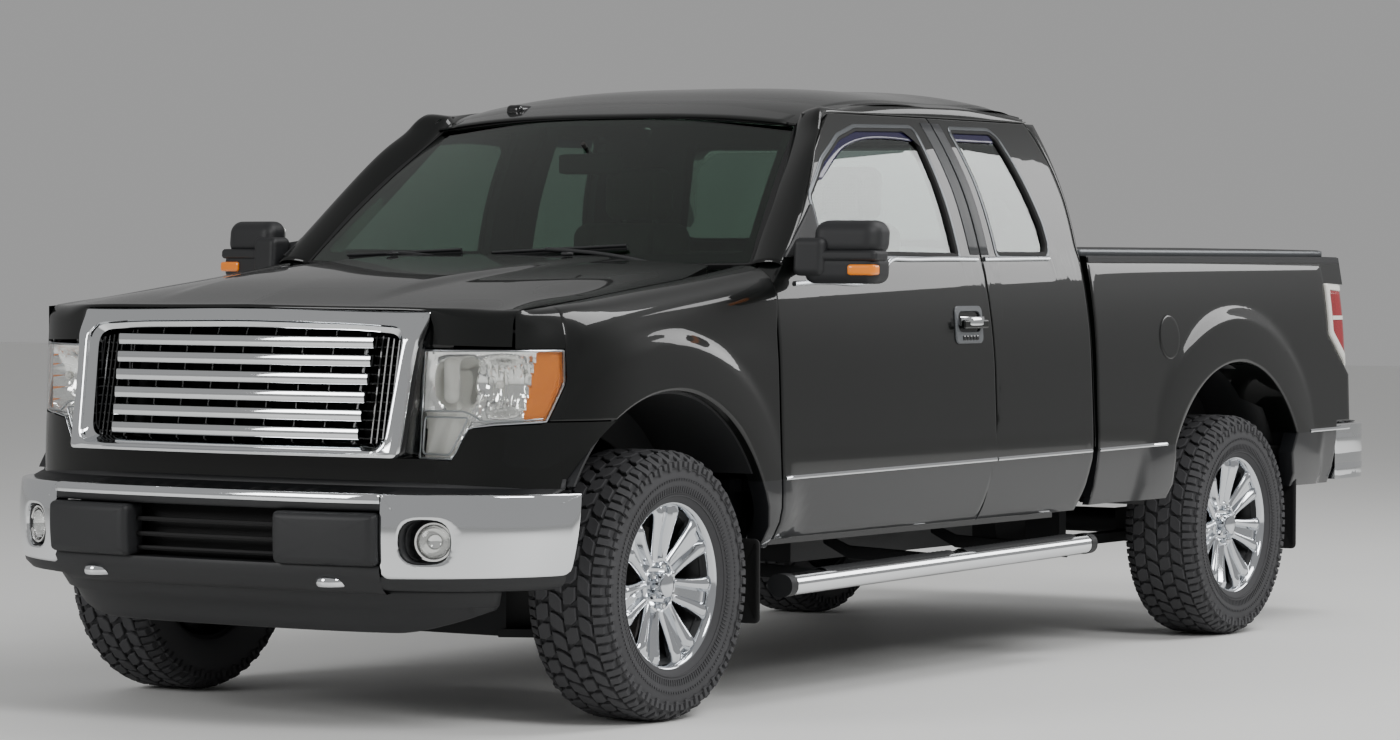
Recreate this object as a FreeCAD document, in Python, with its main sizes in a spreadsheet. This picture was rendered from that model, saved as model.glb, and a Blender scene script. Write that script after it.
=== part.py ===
# Full-size four-wheel-drive pickup truck with an extended cab, as an assembly of separate pieces.
# Millimetres. X is the truck's left, Y is rearwards, Z is up. The origin is on the ground,
# under the middle of the truck's length and on its centre plane.

import FreeCAD, Part
import math
import os
import re

V = FreeCAD.Vector
doc = FreeCAD.newDocument("pickup_truck")
sheet = doc.addObject("Spreadsheet::Sheet", "Sizes")

SIZES = [
    # Overall
    ("nose_y", -2945, "front of the bumper"),
    ("bumper_overhang", 376, "end of the bed side to the rear of the bumper"),
    ("wheelbase", 3670, "front axle to rear axle"),
    ("front_axle_y", -1990, "front axle from the middle of the length"),
    ("track", 1702, "between the tyres' middle planes"),
    ("axle_height", 392, "hub height, the tyre's radius"),
    ("shut_gap", 6, "gap round every door and panel"),
    ("swing_clear", 9, "clearance of what swings past another piece"),
    ("run_gap", 0.4, "running gap round a pin"),
    ("pin_radius", 7, "hinge pins of the doors"),
    ("hinge_x", 970, "door hinge axes from the centre plane"),
    ("front_hinge_y", -1425, "hinge axis of the front door"),
    ("rear_hinge_y", 505, "hinge axis of the rear door"),
    ("hood_axis_y", -1470, "hinge axis of the hood"),
    ("hood_axis_z", 1310, "hinge axis of the hood"),
    ("gate_inset", 64, "hinge axis of the tailgate to the end of the bed"),
    ("gate_axis_z", 872, "hinge axis of the tailgate"),
    # Wheels
    ("tire_width", 270, "section width"),
    ("tire_shoulder", 42, "radius of the tread's shoulder"),
    ("rim_radius", 246, "rim's outer flange"),
    ("stud_radius", 14, "ball studs of the front uprights"),
    ("spoke_count", 7, "split spokes"),
    ("hub_radius", 62, "wheel's centre"),
    ("disc_radius", 168, "brake disc"),
    ("kingpin_x", 800, "steering axis from the centre plane"),
    ("axle_tube_radius", 45, "rear axle tube"),
    # Body side
    ("skin", 45, "front sheet metal with its inner frame"),
    ("liner_wall", 8, "wheel arch liner"),
    ("door_wall", 80, "thickness of a door"),
    ("frame_wall", 46, "thickness of a door's window frame"),
    ("glass_wall", 6, "door glass"),
    ("glass_inset", 16, "glass behind the outer skin"),
    ("door_front_y", -1447, "front edge of the front door"),
    ("door_bottom", 498, "lower edge of the doors"),
    ("cab_rear_y", 527, "rear edge of the rear door"),
    ("belt", 1330, "waist line under the windows"),
    ("frame_top", 1792, "upper edge of the doors"),
    # Roof
    ("roof_top", 1900, "crown of the roof"),
    ("roof_wall", 32, "roof panel with its bows"),
    ("roof_rear_y", 470, "rear edge of the roof"),
    # Bed
    ("bed_front_y", 563, "front edge of the bed side"),
    ("bed_overhang", 889, "rear axle to the end of the bed side"),
    ("bed_inner_x", 828, "inner face of the bed side"),
    ("bed_top", 1348, "bed rail"),
    ("bed_floor_top", 885, "cargo floor"),
    ("bed_floor_wall", 35, "cargo floor with its ribs"),
    ("house_inner_x", 635, "inner face of a wheelhouse"),
    ("house_radius", 640, "wheelhouse"),
    ("house_wall", 14, "wheelhouse sheet"),
    ("tailgate_wall", 62, "tailgate thickness"),
    ("tailgate_half", 745, "half the tailgate's width"),
    ("cover_wall", 26, "tonneau cover"),
    # Frame and running gear
    ("rail_x", 430, "frame rail's middle from the centre plane"),
    ("rail_width", 70, "frame rail"),
    ("rail_bottom", 505, "underside of the frame rail"),
    ("rail_height", 150, "frame rail"),
    ("cab_floor_bottom", 560, "underside of the cab floor"),
    ("cab_floor_wall", 55, "cab floor with its cross ribs"),
    ("cab_half", 860, "half the width of the cab floor"),
]

for row, (alias, value, note) in enumerate(SIZES, start=1):
    sheet.set("A%d" % row, note)
    sheet.set("B%d" % row, "%g" % value)
    sheet.setAlias("B%d" % row, alias)
doc.recompute()


class Cells:
    """The sheet's values by name, for shapes that Part's own functions make."""


mm = Cells()
for alias, _, _ in SIZES:
    setattr(mm, alias, float(sheet.get(alias)))

rear_axle_y = mm.front_axle_y + mm.wheelbase
bed_rear_y = rear_axle_y + mm.bed_overhang
tail_y = bed_rear_y + mm.bumper_overhang
gate_axis_y = bed_rear_y - mm.gate_inset
wheel_x = mm.track / 2
nodes = {}


# Helpers that make the document's objects

def cells(text):
    """An expression with every alias led by the sheet's name."""
    return re.sub(r"[a-z]\w*", lambda match: "Sizes." + match.group(0), str(text))


def bind(obj, **sizes):
    """Bind properties of an object to expressions of the sheet's cells."""
    for name, text in sizes.items():
        obj.setExpression(name.replace("_", "."), cells(text))


def place(obj, x, y, z):
    bind(obj, Placement_Base_x=x, Placement_Base_y=y, Placement_Base_z=z)


def box(name, x, y, z, length, width, height):
    """A box from its low corner and its sizes along X, Y and Z."""
    obj = doc.addObject("Part::Box", name)
    bind(obj, Length=length, Width=width, Height=height)
    place(obj, x, y, z)
    return obj


def fuse(name, pieces):
    obj = doc.addObject("Part::MultiFuse", name)
    obj.Shapes = pieces
    return obj


def cut(name, base, tool):
    obj = doc.addObject("Part::Cut", name)
    obj.Base = base
    obj.Tool = tool
    return obj


def node(name, obj):
    """Give an object its label and keep it as one of the truck's pieces."""
    obj.Label = name
    nodes[name] = obj
    return obj


def shape_node(name, shape):
    """A piece whose form is made with Part's own functions."""
    obj = doc.addObject("Part::Feature", name + "_shape")
    obj.Shape = shape
    return node(name, obj)


def mirrored(shape):
    """The same shape on the other side of the centre plane."""
    return shape.mirror(V(0, 0, 0), V(1, 0, 0))


def both_sides(name, shape):
    """Left and right pieces from the left one's shape."""
    shape_node(name + "_left", shape)
    shape_node(name + "_right", mirrored(shape))


# Helpers for wires and solids

def spline(points):
    curve = Part.BSplineCurve()
    curve.interpolate([V(*p) for p in points])
    return curve.toShape()


def line(a, b):
    return Part.makeLine(V(*a), V(*b))


def polygon_face(points):
    return Part.Face(Part.makePolygon([V(*p) for p in points + points[:1]]))


def side_prism(points, x0, x1):
    """A prism along X whose outline is a list of (y, z) points."""
    return polygon_face([(x0, y, z) for y, z in points]).extrude(V(x1 - x0, 0, 0))


def plan_prism(points, z0, z1):
    """A prism along Z whose outline is a list of (x, y) points."""
    return polygon_face([(x, y, z0) for x, y in points]).extrude(V(0, 0, z1 - z0))


def front_prism(points, y0, y1):
    """A prism along Y whose outline is a list of (x, z) points."""
    return polygon_face([(x, y0, z) for x, z in points]).extrude(V(0, y1 - y0, 0))


def block(x0, x1, y0, y1, z0, z1):
    return Part.makeBox(x1 - x0, y1 - y0, z1 - z0, V(x0, y0, z0))


def soft_block(x0, x1, y0, y1, z0, z1, radius):
    """A block with all its edges rounded."""
    plain = block(x0, x1, y0, y1, z0, z1)
    return plain.makeFillet(radius, plain.Edges)


def join(shapes):
    """One compound solid from pieces that overlap or touch."""
    return shapes[0].multiFuse(shapes[1:]).removeSplitter()


# The body side's section: how far the skin stands from the centre plane at each height

LOWER = [(470, 942), (540, 972), (620, 990), (700, 1000), (760, 1000),
         (880, 996), (1060, 989), (1205, 974), (1280, 962), (1330, 953)]
UPPER = [(1330, 949), (1430, 926), (1540, 893), (1640, 852), (1740, 800), (1800, 764)]


def section_curve(points, shift, y):
    return spline([(x - shift, y, z) for z, x in points])


def side_slab(points, y0, y1, outer, inner):
    """A wall that follows the section between two depths behind the skin."""
    near = section_curve(points, outer, y0)
    far = section_curve(points, inner, y0)
    ends = [line(near.Vertexes[i].Point, far.Vertexes[i].Point) for i in (0, -1)]
    wire = Part.Wire([near, ends[1], far.reversed(), ends[0]])
    return Part.Face(wire).extrude(V(0, y1 - y0, 0))


def skin_x(points, z):
    """The skin's distance at a height, by straight lines between the section's points."""
    for (z0, x0), (z1, x1) in zip(points, points[1:]):
        if z0 <= z <= z1:
            return x0 + (x1 - x0) * (z - z0) / (z1 - z0)
    return points[-1][1] if z > points[-1][0] else points[0][1]


# Ladder frame with its cross members and hitch

REAR_AXLE = "(front_axle_y + wheelbase)"
TAIL = "(front_axle_y + wheelbase + bed_overhang + bumper_overhang)"


def make_frame():
    """Two rails with the hitch's arms, and the members between them."""
    rails = []
    for side, sign in (("left", ""), ("right", "-")):
        rail = box("rail_" + side, sign + "rail_x - rail_width / 2", "nose_y + 215", "rail_bottom",
                   "rail_width", TAIL + " - nose_y - 475", "rail_height")
        arm = box("hitch_arm_" + side, sign + "rail_x - 30", TAIL + " - 330", "rail_bottom - 10",
                  "60", "230", "60")
        rails += [rail, arm]
    node("frame", fuse("frame_fusion", rails))

    members = []
    stations = {"front": "nose_y + 235", "engine": "front_axle_y + 300", "gearbox": "-560",
                "middle": "420", "rear": REAR_AXLE + " - 560", "end": TAIL + " - 360"}
    for where, y in stations.items():
        members.append(box("cross_" + where, "-rail_x + rail_width / 2", y, "rail_bottom + 25",
                           "rail_x * 2 - rail_width", "90", "rail_height - 60"))
    members.append(box("hitch_tube", "-rail_x + 30", TAIL + " - 170", "rail_bottom - 5",
                       "rail_x * 2 - 60", "60", "55"))
    members.append(box("receiver_outer", "-33", TAIL + " - 330", "rail_bottom - 8", "66", "250",
                       "66"))
    inner = box("receiver_inner", "-25.6", TAIL + " - 340", "rail_bottom - 0.6", "51.2", "280",
                "51.2")
    node("crossmembers", cut("crossmembers_cut", fuse("crossmembers_fusion", members), inner))


def make_engine():
    base = box("engine_block", "-210", "front_axle_y - 330", "700", "420", "640", "330")
    sump = box("engine_sump", "-150", "front_axle_y - 250", "672", "300", "480", "60")
    mounts = [box("engine_mount_left", "200", "front_axle_y - 60", "rail_bottom + rail_height",
                  "rail_x - 200", "120", "60"),
              box("engine_mount_right", "-rail_x", "front_axle_y - 60", "rail_bottom + rail_height",
                  "rail_x - 200", "120", "60")]
    node("engine", fuse("engine_fusion", [base, sump] + mounts))


def make_radiator():
    core = box("radiator_core", "-380", "nose_y + 345", "rail_bottom + rail_height + 40", "760",
               "60", "400")
    beam = box("radiator_beam", "-rail_x - 210", "nose_y + 335", "rail_bottom + rail_height",
               "rail_x * 2 + 420", "80", "45")
    node("radiator", fuse("radiator_fusion", [core, beam]))


# Master form of the front end: one closed solid, from which hood, fenders and lamps are cut

NOSE = [(0, -2745), (300, -2737), (600, -2706), (760, -2664), (880, -2590), (955, -2490),
        (992, -2360), (1004, -2180)]
STATIONS = [
    (-1440, 1342, 1338, 1324, 1318, 1308, 1280),
    (-1761, 1326, 1320, 1296, 1276, 1266, 1236),
    (-2040, 1303, 1296, 1266, 1246, 1234, 1204),
    (-2300, 1276, 1268, 1236, 1218, 1205, 1172),
    (-2560, 1238, 1230, 1208, 1194, 1180, 1142),
    (-2780, 1192, 1186, 1172, 1160, 1146, 1108),
]
SHOULDER = (0, 400, 700, 850, 925, 962)


def front_section(y, heights, inset):
    top = [(x * (1 - inset / 1000), y, z - inset) for x, z in zip(SHOULDER, heights)]
    side = [(x - inset, y, z) for z, x in reversed(LOWER) if z < min(heights) - 60]
    curve = spline(top + side)
    low = side[-1]
    floor_point = (0, y, low[2])
    return Part.Wire([curve, line(low, floor_point), line(floor_point, top[0])])


def front_form(inset):
    """Left half of the front end, closed down to the sill, cut to the nose's plan curve."""
    loft = Part.makeLoft([front_section(s[0], s[1:], inset) for s in STATIONS], True, False)
    curve = spline([(x - inset * 0.9 * (i > 3), y + inset * (i < 7), 300)
                    for i, (x, y) in enumerate(NOSE)])
    start, end = NOSE[0], NOSE[-1]
    first = curve.Vertexes[0].Point
    last = curve.Vertexes[-1].Point
    back = -1300
    corners = [tuple(last), (last.x + 60, last.y, 300), (last.x + 60, back, 300), (0, back, 300),
               tuple(first)]
    plan = Part.Face(Part.Wire([curve] + [line(a, b) for a, b in zip(corners, corners[1:])]))
    return loft.common(plan.extrude(V(0, 0, 1400)))


HOOD_EDGE = [(850, -2900), (850, -1761), (762, -1478)]
HOOD_REAR = [(500, -1512), (0, -1545)]
STRIP_BOTTOM = 1086


def hood_outline(gap):
    """Half the hood's outline in plan, larger by a gap."""
    edge = [(x + gap, y + (gap if i == 2 else 0)) for i, (x, y) in enumerate(HOOD_EDGE)]
    rear = [(x, y + gap) for x, y in HOOD_REAR]
    return [(-5, -2900)] + edge + rear + [(-5, HOOD_REAR[-1][1] + gap)]


ARCH_FRONT = (mm.front_axle_y - 55, 400, 556)
ARCH_REAR = (rear_axle_y - 60, 410, 566)


def arch_cutter(centre_y, centre_z, radius, low, x0, x1):
    """The wheel opening: a round top with legs that follow the sill's corners."""
    circle = Part.makeCylinder(radius, x1 - x0, V(x0, centre_y, centre_z), V(1, 0, 0))
    legs = side_prism(low, x0, x1)
    return circle.fuse(legs)


# Each leg's points are measured from its axle
FRONT_LEGS = [(mm.front_axle_y + y, z) for y, z in (
    (-710, 300), (-710, 600), (-550, 690), (-310, 860), (250, 850), (378, 671), (444, 562),
    (520, 470), (520, 300))]
REAR_LEGS = [(rear_axle_y + y, z) for y, z in (
    (-600, 300), (-570, 480), (-509, 695), (-380, 860), (250, 860), (333, 776), (380, 640),
    (430, 480), (430, 300))]


def flare(centre_y, centre_z, radius, band, low_z):
    """The raised lip round a wheel opening: a section turned about the opening's centre."""
    root = skin_x(LOWER, 1000) - 20
    points = [(root, radius - 5), (1002, radius - 5), (1002, radius + 42), (990, radius + band - 30),
              (root + 6, radius + band)]
    face = polygon_face([(x, centre_y, centre_z + r) for x, r in points])
    ring = face.revolve(V(0, centre_y, centre_z), V(1, 0, 0), 360)
    return ring.common(block(900, 1010, centre_y - 900, centre_y + 900, low_z, 1300))


def arch_liners(fender):
    """Moulded shells under the fenders' lips, over the front wheels."""
    y, z, radius = ARCH_FRONT
    outer = Part.makeCylinder(radius, 320, V(660, y, z), V(1, 0, 0))
    inner = Part.makeCylinder(radius - mm.liner_wall, 320, V(660, y, z), V(1, 0, 0))
    side = Part.makeCylinder(radius, mm.liner_wall, V(660, y, z), V(1, 0, 0))
    side = side.cut(Part.makeCylinder(430, mm.liner_wall, V(660, y, z), V(1, 0, 0)))
    shell = outer.cut(inner).fuse(side)
    shell = shell.common(block(600, 1000, -2700, -1540, 700, 1200)).cut(fender)
    shell = sorted(shell.Solids, key=lambda s: s.Volume)[-1]
    return Part.Compound([shell, mirrored(shell)])


def make_front_end():
    outer = front_form(0)
    shell = outer.cut(front_form(mm.skin))
    hood_cut = plan_prism(hood_outline(mm.shut_gap), STRIP_BOTTOM, 1500)
    hood_keep = plan_prism(hood_outline(0), STRIP_BOTTOM, 1500)
    # The grille's surround stands in front of the hood's middle
    surround_zone = front_prism([(-5, 600), (600, 600), (628, 1130), (634, 1176), (400, 1188),
                                 (-5, 1206)], -2900, -2600)
    hood_half = shell.common(hood_keep).cut(surround_zone)
    hood_half = hood_half.cut(block(-5, 634, -2900, -2640, 1000, 1165))
    pin_y = mm.hood_axis_y
    pin_z = mm.hood_axis_z
    room = Part.makeCylinder(23, 20, V(712, pin_y, pin_z), V(1, 0, 0))
    bore = Part.makeCylinder(5 + mm.run_gap, 20, V(695, pin_y, pin_z), V(1, 0, 0))
    plate = block(700, 710, pin_y - 40, pin_y + 10, pin_z - 14, pin_z + 8).cut(bore)
    hood_half = hood_half.cut(room).fuse(plate)
    hood = join([hood_half, mirrored(hood_half)])
    shape_node("hood", hood)

    arch = arch_cutter(*ARCH_FRONT, FRONT_LEGS, 700, 1100)
    fender_zone = side_prism([(-2572, 884), (-2506, 990), (-2506, 1086), (-2720, 1086), (-2720, 1400),
                              (mm.door_front_y - mm.shut_gap, 1400),
                              (mm.door_front_y - mm.shut_gap, 470), (-2400, 470), (-2400, 884)],
                             600, 1100)
    fender = shell.common(fender_zone).cut(hood_cut)
    fender = fender.cut(block(0, 862, -2900, -1440, 300, 1240))
    fender = fender.cut(block(0, 768, -1560, -1440, 1200, 1400))
    lip = flare(*ARCH_FRONT, 175, 690)
    lip = lip.common(block(900, 1010, -2900, mm.door_front_y - mm.shut_gap, 600, 1300))
    bracket = block(866, 960, -1530, -1490, 880, 1000)
    swing = Part.makeCylinder(43, 900, V(mm.hinge_x, mm.front_hinge_y, 450), V(0, 0, 1))
    fender = fender.multiFuse([lip, bracket]).cut(arch).cut(swing)
    fender = fender.cut(block(900, 1010, -3000, -2450, 470, 878))
    pieces = sorted(fender.Solids, key=lambda s: s.Volume)
    both_sides("fender", pieces[-1])
    shape_node("arch_liners", arch_liners(pieces[-1]))

    # Body-coloured panel between lamps and bumper, wrapped round to the wheel opening
    nose_zone = block(-5, 1100, -2900, -2300, 690, 872)
    nose_shell = shell.common(nose_zone).cut(arch)
    nose_shell = nose_shell.cut(front_prism([(-5, 776), (596, 776), (700, 770), (716, 862),
                                             (1000, 862), (1000, 900), (-5, 900)], -2900, -2560))
    nose_shell = nose_shell.cut(pieces[-1])
    biggest = sorted(nose_shell.Solids, key=lambda s: s.Volume)[-1]
    shape_node("nose_panel", join([biggest, mirrored(biggest)]))

    lamp_body = outer.cut(front_form(150))
    lamp_zone = front_prism([(632, 1079), (957, 1079), (957, 996), (935, 878), (728, 874),
                             (700, 850), (672, 776), (601, 776)], -2900, -2440)
    lamp = lamp_body.common(lamp_zone).cut(block(940, 1100, -2504, -2300, 700, 1200))
    lamp = sorted(lamp.Solids, key=lambda s: s.Volume)[-1]
    lamp = lamp.cut(nodes["fender_left"].Shape).cut(nodes["hood"].Shape)
    lamp = sorted(lamp.Solids, key=lambda s: s.Volume)[-1]
    shape_node("headlamps", Part.Compound([lamp, mirrored(lamp)]))


def make_grille():
    outline = [(-620, 1172), (-400, 1186), (0, 1199), (400, 1186), (620, 1172), (588, 776),
               (-588, 776)]
    opening = [(-556, 1110), (-520, 1136), (520, 1136), (556, 1110), (535, 812), (-535, 812)]
    frame_back = -2640
    slab = front_prism(outline, -2780, frame_back).cut(front_prism(opening, -2800, -2600))
    # The surround leans back towards its top
    lean = side_prism([(-2905, 700), (-2790, 700), (-2690, 1230), (-2905, 1230)], -700, 700)
    shape_node("grille_surround", slab.cut(lean))

    bars = []
    for i in range(6):
        z = 1098 - i * 51
        y = -2712 - (1098 - z) * 0.19
        half = 500 - (1098 - z) * 0.06
        bars.append(block(-half, half, y, y + 26, z - 13, z + 13))
    for x in (-475, -300, -100, 100, 300, 475):
        bars.append(side_prism([(-2756, 812), (-2706, 812), (-2645, 1136), (-2695, 1136)],
                               x - 6, x + 6))
    shape_node("grille_bars", join(bars))


BUMPER = [(0, -2945), (300, -2936), (580, -2893), (780, -2800), (900, -2690), (972, -2570),
          (996, -2480)]


def offset_points(points, depth):
    """Points moved to the left of the path by a depth, along the path's normals."""
    moved = []
    last = len(points) - 1
    for i, (x, y) in enumerate(points):
        x0, y0 = points[max(i - 1, 0)]
        x1, y1 = points[min(i + 1, last)]
        length = math.hypot(x1 - x0, y1 - y0)
        moved.append((x - (y1 - y0) / length * depth, y + (x1 - x0) / length * depth))
    return moved


def bent_wall(points, depth, z0, z1):
    """A wall that follows a plan curve, to the left of its path."""
    near = spline([(x, y, z0) for x, y in points])
    far = spline([(x, y, z0) for x, y in offset_points(points, depth)])
    ends = [line(near.Vertexes[i].Point, far.Vertexes[i].Point) for i in (0, -1)]
    face = Part.Face(Part.Wire([near, ends[1], far.reversed(), ends[0]]))
    return face.extrude(V(0, 0, z1 - z0))


def plan_shell(points, depth, z0, z1):
    """A wall that follows half a plan curve, mirrored to both sides."""
    whole = [(-x, y) for x, y in reversed(points[1:])] + list(points)
    return bent_wall(whole, depth, z0, z1)


def make_front_bumper():
    wall = plan_shell(BUMPER, 40, 443, 682)
    middle = block(-600, 600, -3000, -2700, 430, 655)
    fog_hole = Part.makeCylinder(78, 400, V(712, -2950, 552), V(0, 1, 0))
    arms = [block(min(s * 395, s * 465), max(s * 395, s * 465), -2890, -2690,
                  mm.rail_bottom + mm.rail_height, 682) for s in (1, -1)]
    wall = wall.cut(middle).cut(fog_hole).cut(mirrored(fog_hole))
    wall = wall.multiFuse(arms)
    shape_node("front_bumper", wall)
    lamp = Part.makeCylinder(48, 60, V(724, -2790, 552), V(0.25, 1, 0))
    lamp = lamp.fuse(Part.makeCylinder(82, 26, V(732, -2762, 552), V(0.25, 1, 0))).cut(wall)
    lamp = sorted(lamp.Solids, key=lambda s: s.Volume)[-1]
    shape_node("fog_lamps", Part.Compound([lamp, mirrored(lamp)]))
    pads = plan_shell(BUMPER, 60, 478, 632)
    pad = pads.common(block(262, 586, -3000, -2700, 400, 700))
    lower = plan_shell(BUMPER, 120, 400, 470).common(block(-600, 600, -3000, -2600, 300, 700))
    dam = plan_shell([(x * 0.9, y + 60) for x, y in BUMPER], 30, 285, 402)
    dam = dam.common(block(-800, 800, -3000, -2560, 200, 500))
    link = block(262, 586, -2880, -2800, 465, 500)
    hook = block(400, 440, -2900, -2700, 425, 455)
    trim = join([pad, mirrored(pad), lower, dam, link, mirrored(link)])
    trim = trim.cut(hook).cut(mirrored(hook))
    shape_node("bumper_trim", trim)
    shape_node("tow_hooks", Part.Compound([hook, mirrored(hook)]))


# Hinges: arms stand on the cab, and each door has the pins in two recesses

HINGE_LEVELS = (640, 940)
HINGE_TALL = 40


def barrel(y, z):
    """The arm's eye round a door's pin."""
    eye = Part.makeCylinder(mm.pin_radius + 5, HINGE_TALL, V(mm.hinge_x, y, z))
    return eye


def pin_bore(y, z):
    return Part.makeCylinder(mm.pin_radius + mm.run_gap, HINGE_TALL, V(mm.hinge_x, y, z))


def front_hinge_arm(z):
    y = mm.front_hinge_y
    arm = plan_prism([(860, y - 75), (892, y - 75), (892, y - 12), (mm.hinge_x, y - 12),
                      (mm.hinge_x, y + 12), (868, y + 12), (868, y - 34), (860, y - 34)],
                     z, z + HINGE_TALL)
    return arm.fuse(barrel(y, z)).cut(pin_bore(y, z))


def rear_hinge_arm(z):
    y = mm.rear_hinge_y
    arm = plan_prism([(870, y - 40), (898, y - 40), (898, y - 12), (mm.hinge_x, y - 12),
                      (mm.hinge_x, y + 12), (870, y + 12)], z, z + HINGE_TALL)
    return arm.fuse(barrel(y, z)).cut(pin_bore(y, z))


def hinged(door, y, y0, y1):
    """Cut the two recesses of a door, from y0 to y1, and put its pins in them."""
    for z in HINGE_LEVELS:
        door = door.cut(block(860, mm.hinge_x + 16, y0, y1, z - 5, z + HINGE_TALL + 5))
        pin = Part.makeCylinder(mm.pin_radius, HINGE_TALL + 14, V(mm.hinge_x, y, z - 7))
        door = door.fuse(pin)
    return door


def hood_bracket():
    """Upright and pin of one hood hinge."""
    y = mm.hood_axis_y
    z = mm.hood_axis_z
    upright = block(714, 726, y - 9, y + 14, 1235, z + 8)
    return upright.fuse(Part.makeCylinder(5, 28, V(698, y, z), V(1, 0, 0)))


# Cab: floor with the firewall, roof with the windscreen's pillars, and the rear wall

def make_cab():
    floor = block(-mm.cab_half, mm.cab_half, -1425, 500, mm.cab_floor_bottom + 95,
                  mm.cab_floor_bottom + 95 + mm.cab_floor_wall)
    firewall = block(-780, 780, -1450, -1400, 660, 1220)
    sill = block(mm.cab_half - 120, mm.cab_half, -1425, 500, 470, 700)
    hinge_post = block(790, 868, -1530, mm.door_front_y - 12, 560, 1240)
    cowl = block(-868, 868, -1530, -1335, 1195, 1240)
    lip = bent_wall([(x, y) for x, y, z in SCREEN_LOW], 24, 1240, 1299)
    brackets = block(450, 800, -1440, -1410, 660, 1220)
    cab = join([floor, firewall, sill, mirrored(sill), hinge_post, mirrored(hinge_post), cowl,
                brackets, mirrored(brackets), lip])
    arms = [front_hinge_arm(z) for z in HINGE_LEVELS] + [hood_bracket()]
    cab = cab.multiFuse(arms + [mirrored(arm) for arm in arms])
    cab = cab.cut(nodes["fender_left"].Shape).cut(nodes["fender_right"].Shape)
    shape_node("cab_floor", sorted(cab.Solids, key=lambda s: s.Volume)[-1])

    stations = [(-862, 1757, 1796, 690), (-600, 1815, 1866, 742), (-200, 1826, 1896, 760),
                (150, 1826, mm.roof_top - 3, 758), (mm.roof_rear_y, 1815, 1868, 742)]
    fractions = (-1, -0.93, -0.7, -0.35, 0, 0.35, 0.7, 0.93, 1)

    def roof_section(y, edge, crown, half, drop):
        points = [(f * half, y, edge + (crown - edge) * (1 - abs(f) ** 3) - drop)
                  for f in fractions]
        return points

    wires = []
    for y, edge, crown, half in stations:
        upper = spline(roof_section(y, edge, crown, half, 0))
        lower = spline(roof_section(y, edge, crown, half, mm.roof_wall))
        ends = [line(upper.Vertexes[i].Point, lower.Vertexes[i].Point) for i in (0, -1)]
        wires.append(Part.Wire([upper, ends[1], lower.reversed(), ends[0]]))
    roof = Part.makeLoft(wires, True, False)
    foot = [(858, -1372, 1300), (930, -1372, 1300), (880, -1300, 1300), (810, -1310, 1300)]
    head = [(690, -846, 1780), (742, -822, 1780), (725, -760, 1780), (660, -790, 1780)]
    pillar = Part.makeLoft([Part.makePolygon([V(*p) for p in q + q[:1]]) for q in (foot, head)],
                           True, True)
    foot = block(806, 864, -1425, -1345, 1240, 1315)
    rail = side_prism(RAIL_LINE, 690, 775).common(side_slab(UPPER, -900, 480, 2, 70))
    roof = join([roof, pillar, mirrored(pillar), foot, mirrored(foot), rail, mirrored(rail)])
    space = side_slab(UPPER, -1500, 600, -12, mm.frame_wall + mm.swing_clear)
    space = space.common(side_prism([(y - 12, z + 4) for y, z in A_LINE[1:]]
                                    + [(-1500, 1200), (600, 1200), (600, mm.frame_top + 6),
                                       (-812, mm.frame_top + 6)], 600, 1100))
    below = side_slab(LOWER, -1500, 600, -12, mm.door_wall + mm.swing_clear)
    below = below.common(block(800, 1100, -1459, 600, 1200, 1331))
    for tool in (space, below):
        roof = roof.cut(tool).cut(mirrored(tool))
    roof = roof.cut(nodes["windshield"].Shape).cut(nodes["cab_floor"].Shape)
    shape_node("cab_roof", sorted(roof.Solids, key=lambda s: s.Volume)[-1])

    half = stations[-1][3]
    top = [(f * half, stations[-1][1] + (stations[-1][2] - stations[-1][1]) * (1 - abs(f) ** 3) - 6)
           for f in fractions]
    flank = [(910, 710), (906, 880), (899, 1060), (884, 1205), (872, 1280), (863, 1328),
             (888, 1340), (866, 1430), (834, 1540), (793, 1640), (741, 1740), (718, 1782)]
    outline = flank + top[::-1] + [(-x, z) for x, z in reversed(flank)]
    wall = front_prism(outline, 440, 495)
    window = front_prism(BACK_WINDOW, 400, 560)
    wall = wall.cut(window).cut(roof)
    arms = [rear_hinge_arm(z) for z in HINGE_LEVELS]
    wall = wall.multiFuse(arms + [mirrored(arm) for arm in arms])
    shape_node("cab_back", sorted(wall.Solids, key=lambda s: s.Volume)[-1])


BACK_WINDOW = [(-610, 1395), (610, 1395), (570, 1730), (-570, 1730)]
RAIL_LINE = [(-890, 1752), (-780, 1800), (470, 1800), (470, 1772), (490, 1772), (490, 1830),
             (-700, 1830), (-860, 1790)]
SCREEN_LOW = [(-858, -1372, 1312), (-450, -1462, 1306), (0, -1490, 1304), (450, -1462, 1306),
              (858, -1372, 1312)]


def make_windscreen():
    low = SCREEN_LOW
    high = [(-690, -850, 1752), (-360, -880, 1778), (0, -890, 1786), (360, -880, 1778),
            (690, -850, 1752)]
    surface = Part.makeRuledSurface(spline(low), spline(high))
    shape_node("windshield", surface.extrude(V(0, 7, -5)))
    pane = front_prism(BACK_WINDOW, 462, 468)
    shape_node("rear_window", pane)
    wipers = []
    for (x0, y0), (x1, y1) in (((560, -1466), (130, -1497)), ((-20, -1511), (-430, -1482))):
        post = Part.makeCylinder(7, 112, V(x0, y0, 1240))
        arm = plan_prism([(x0, y0 - 6), (x0, y0 + 6), (x1, y1 + 4), (x1, y1 - 4)], 1344, 1352)
        wipers.append(post.fuse(arm))
    shape_node("wipers", Part.Compound(wipers))


# Doors

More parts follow.
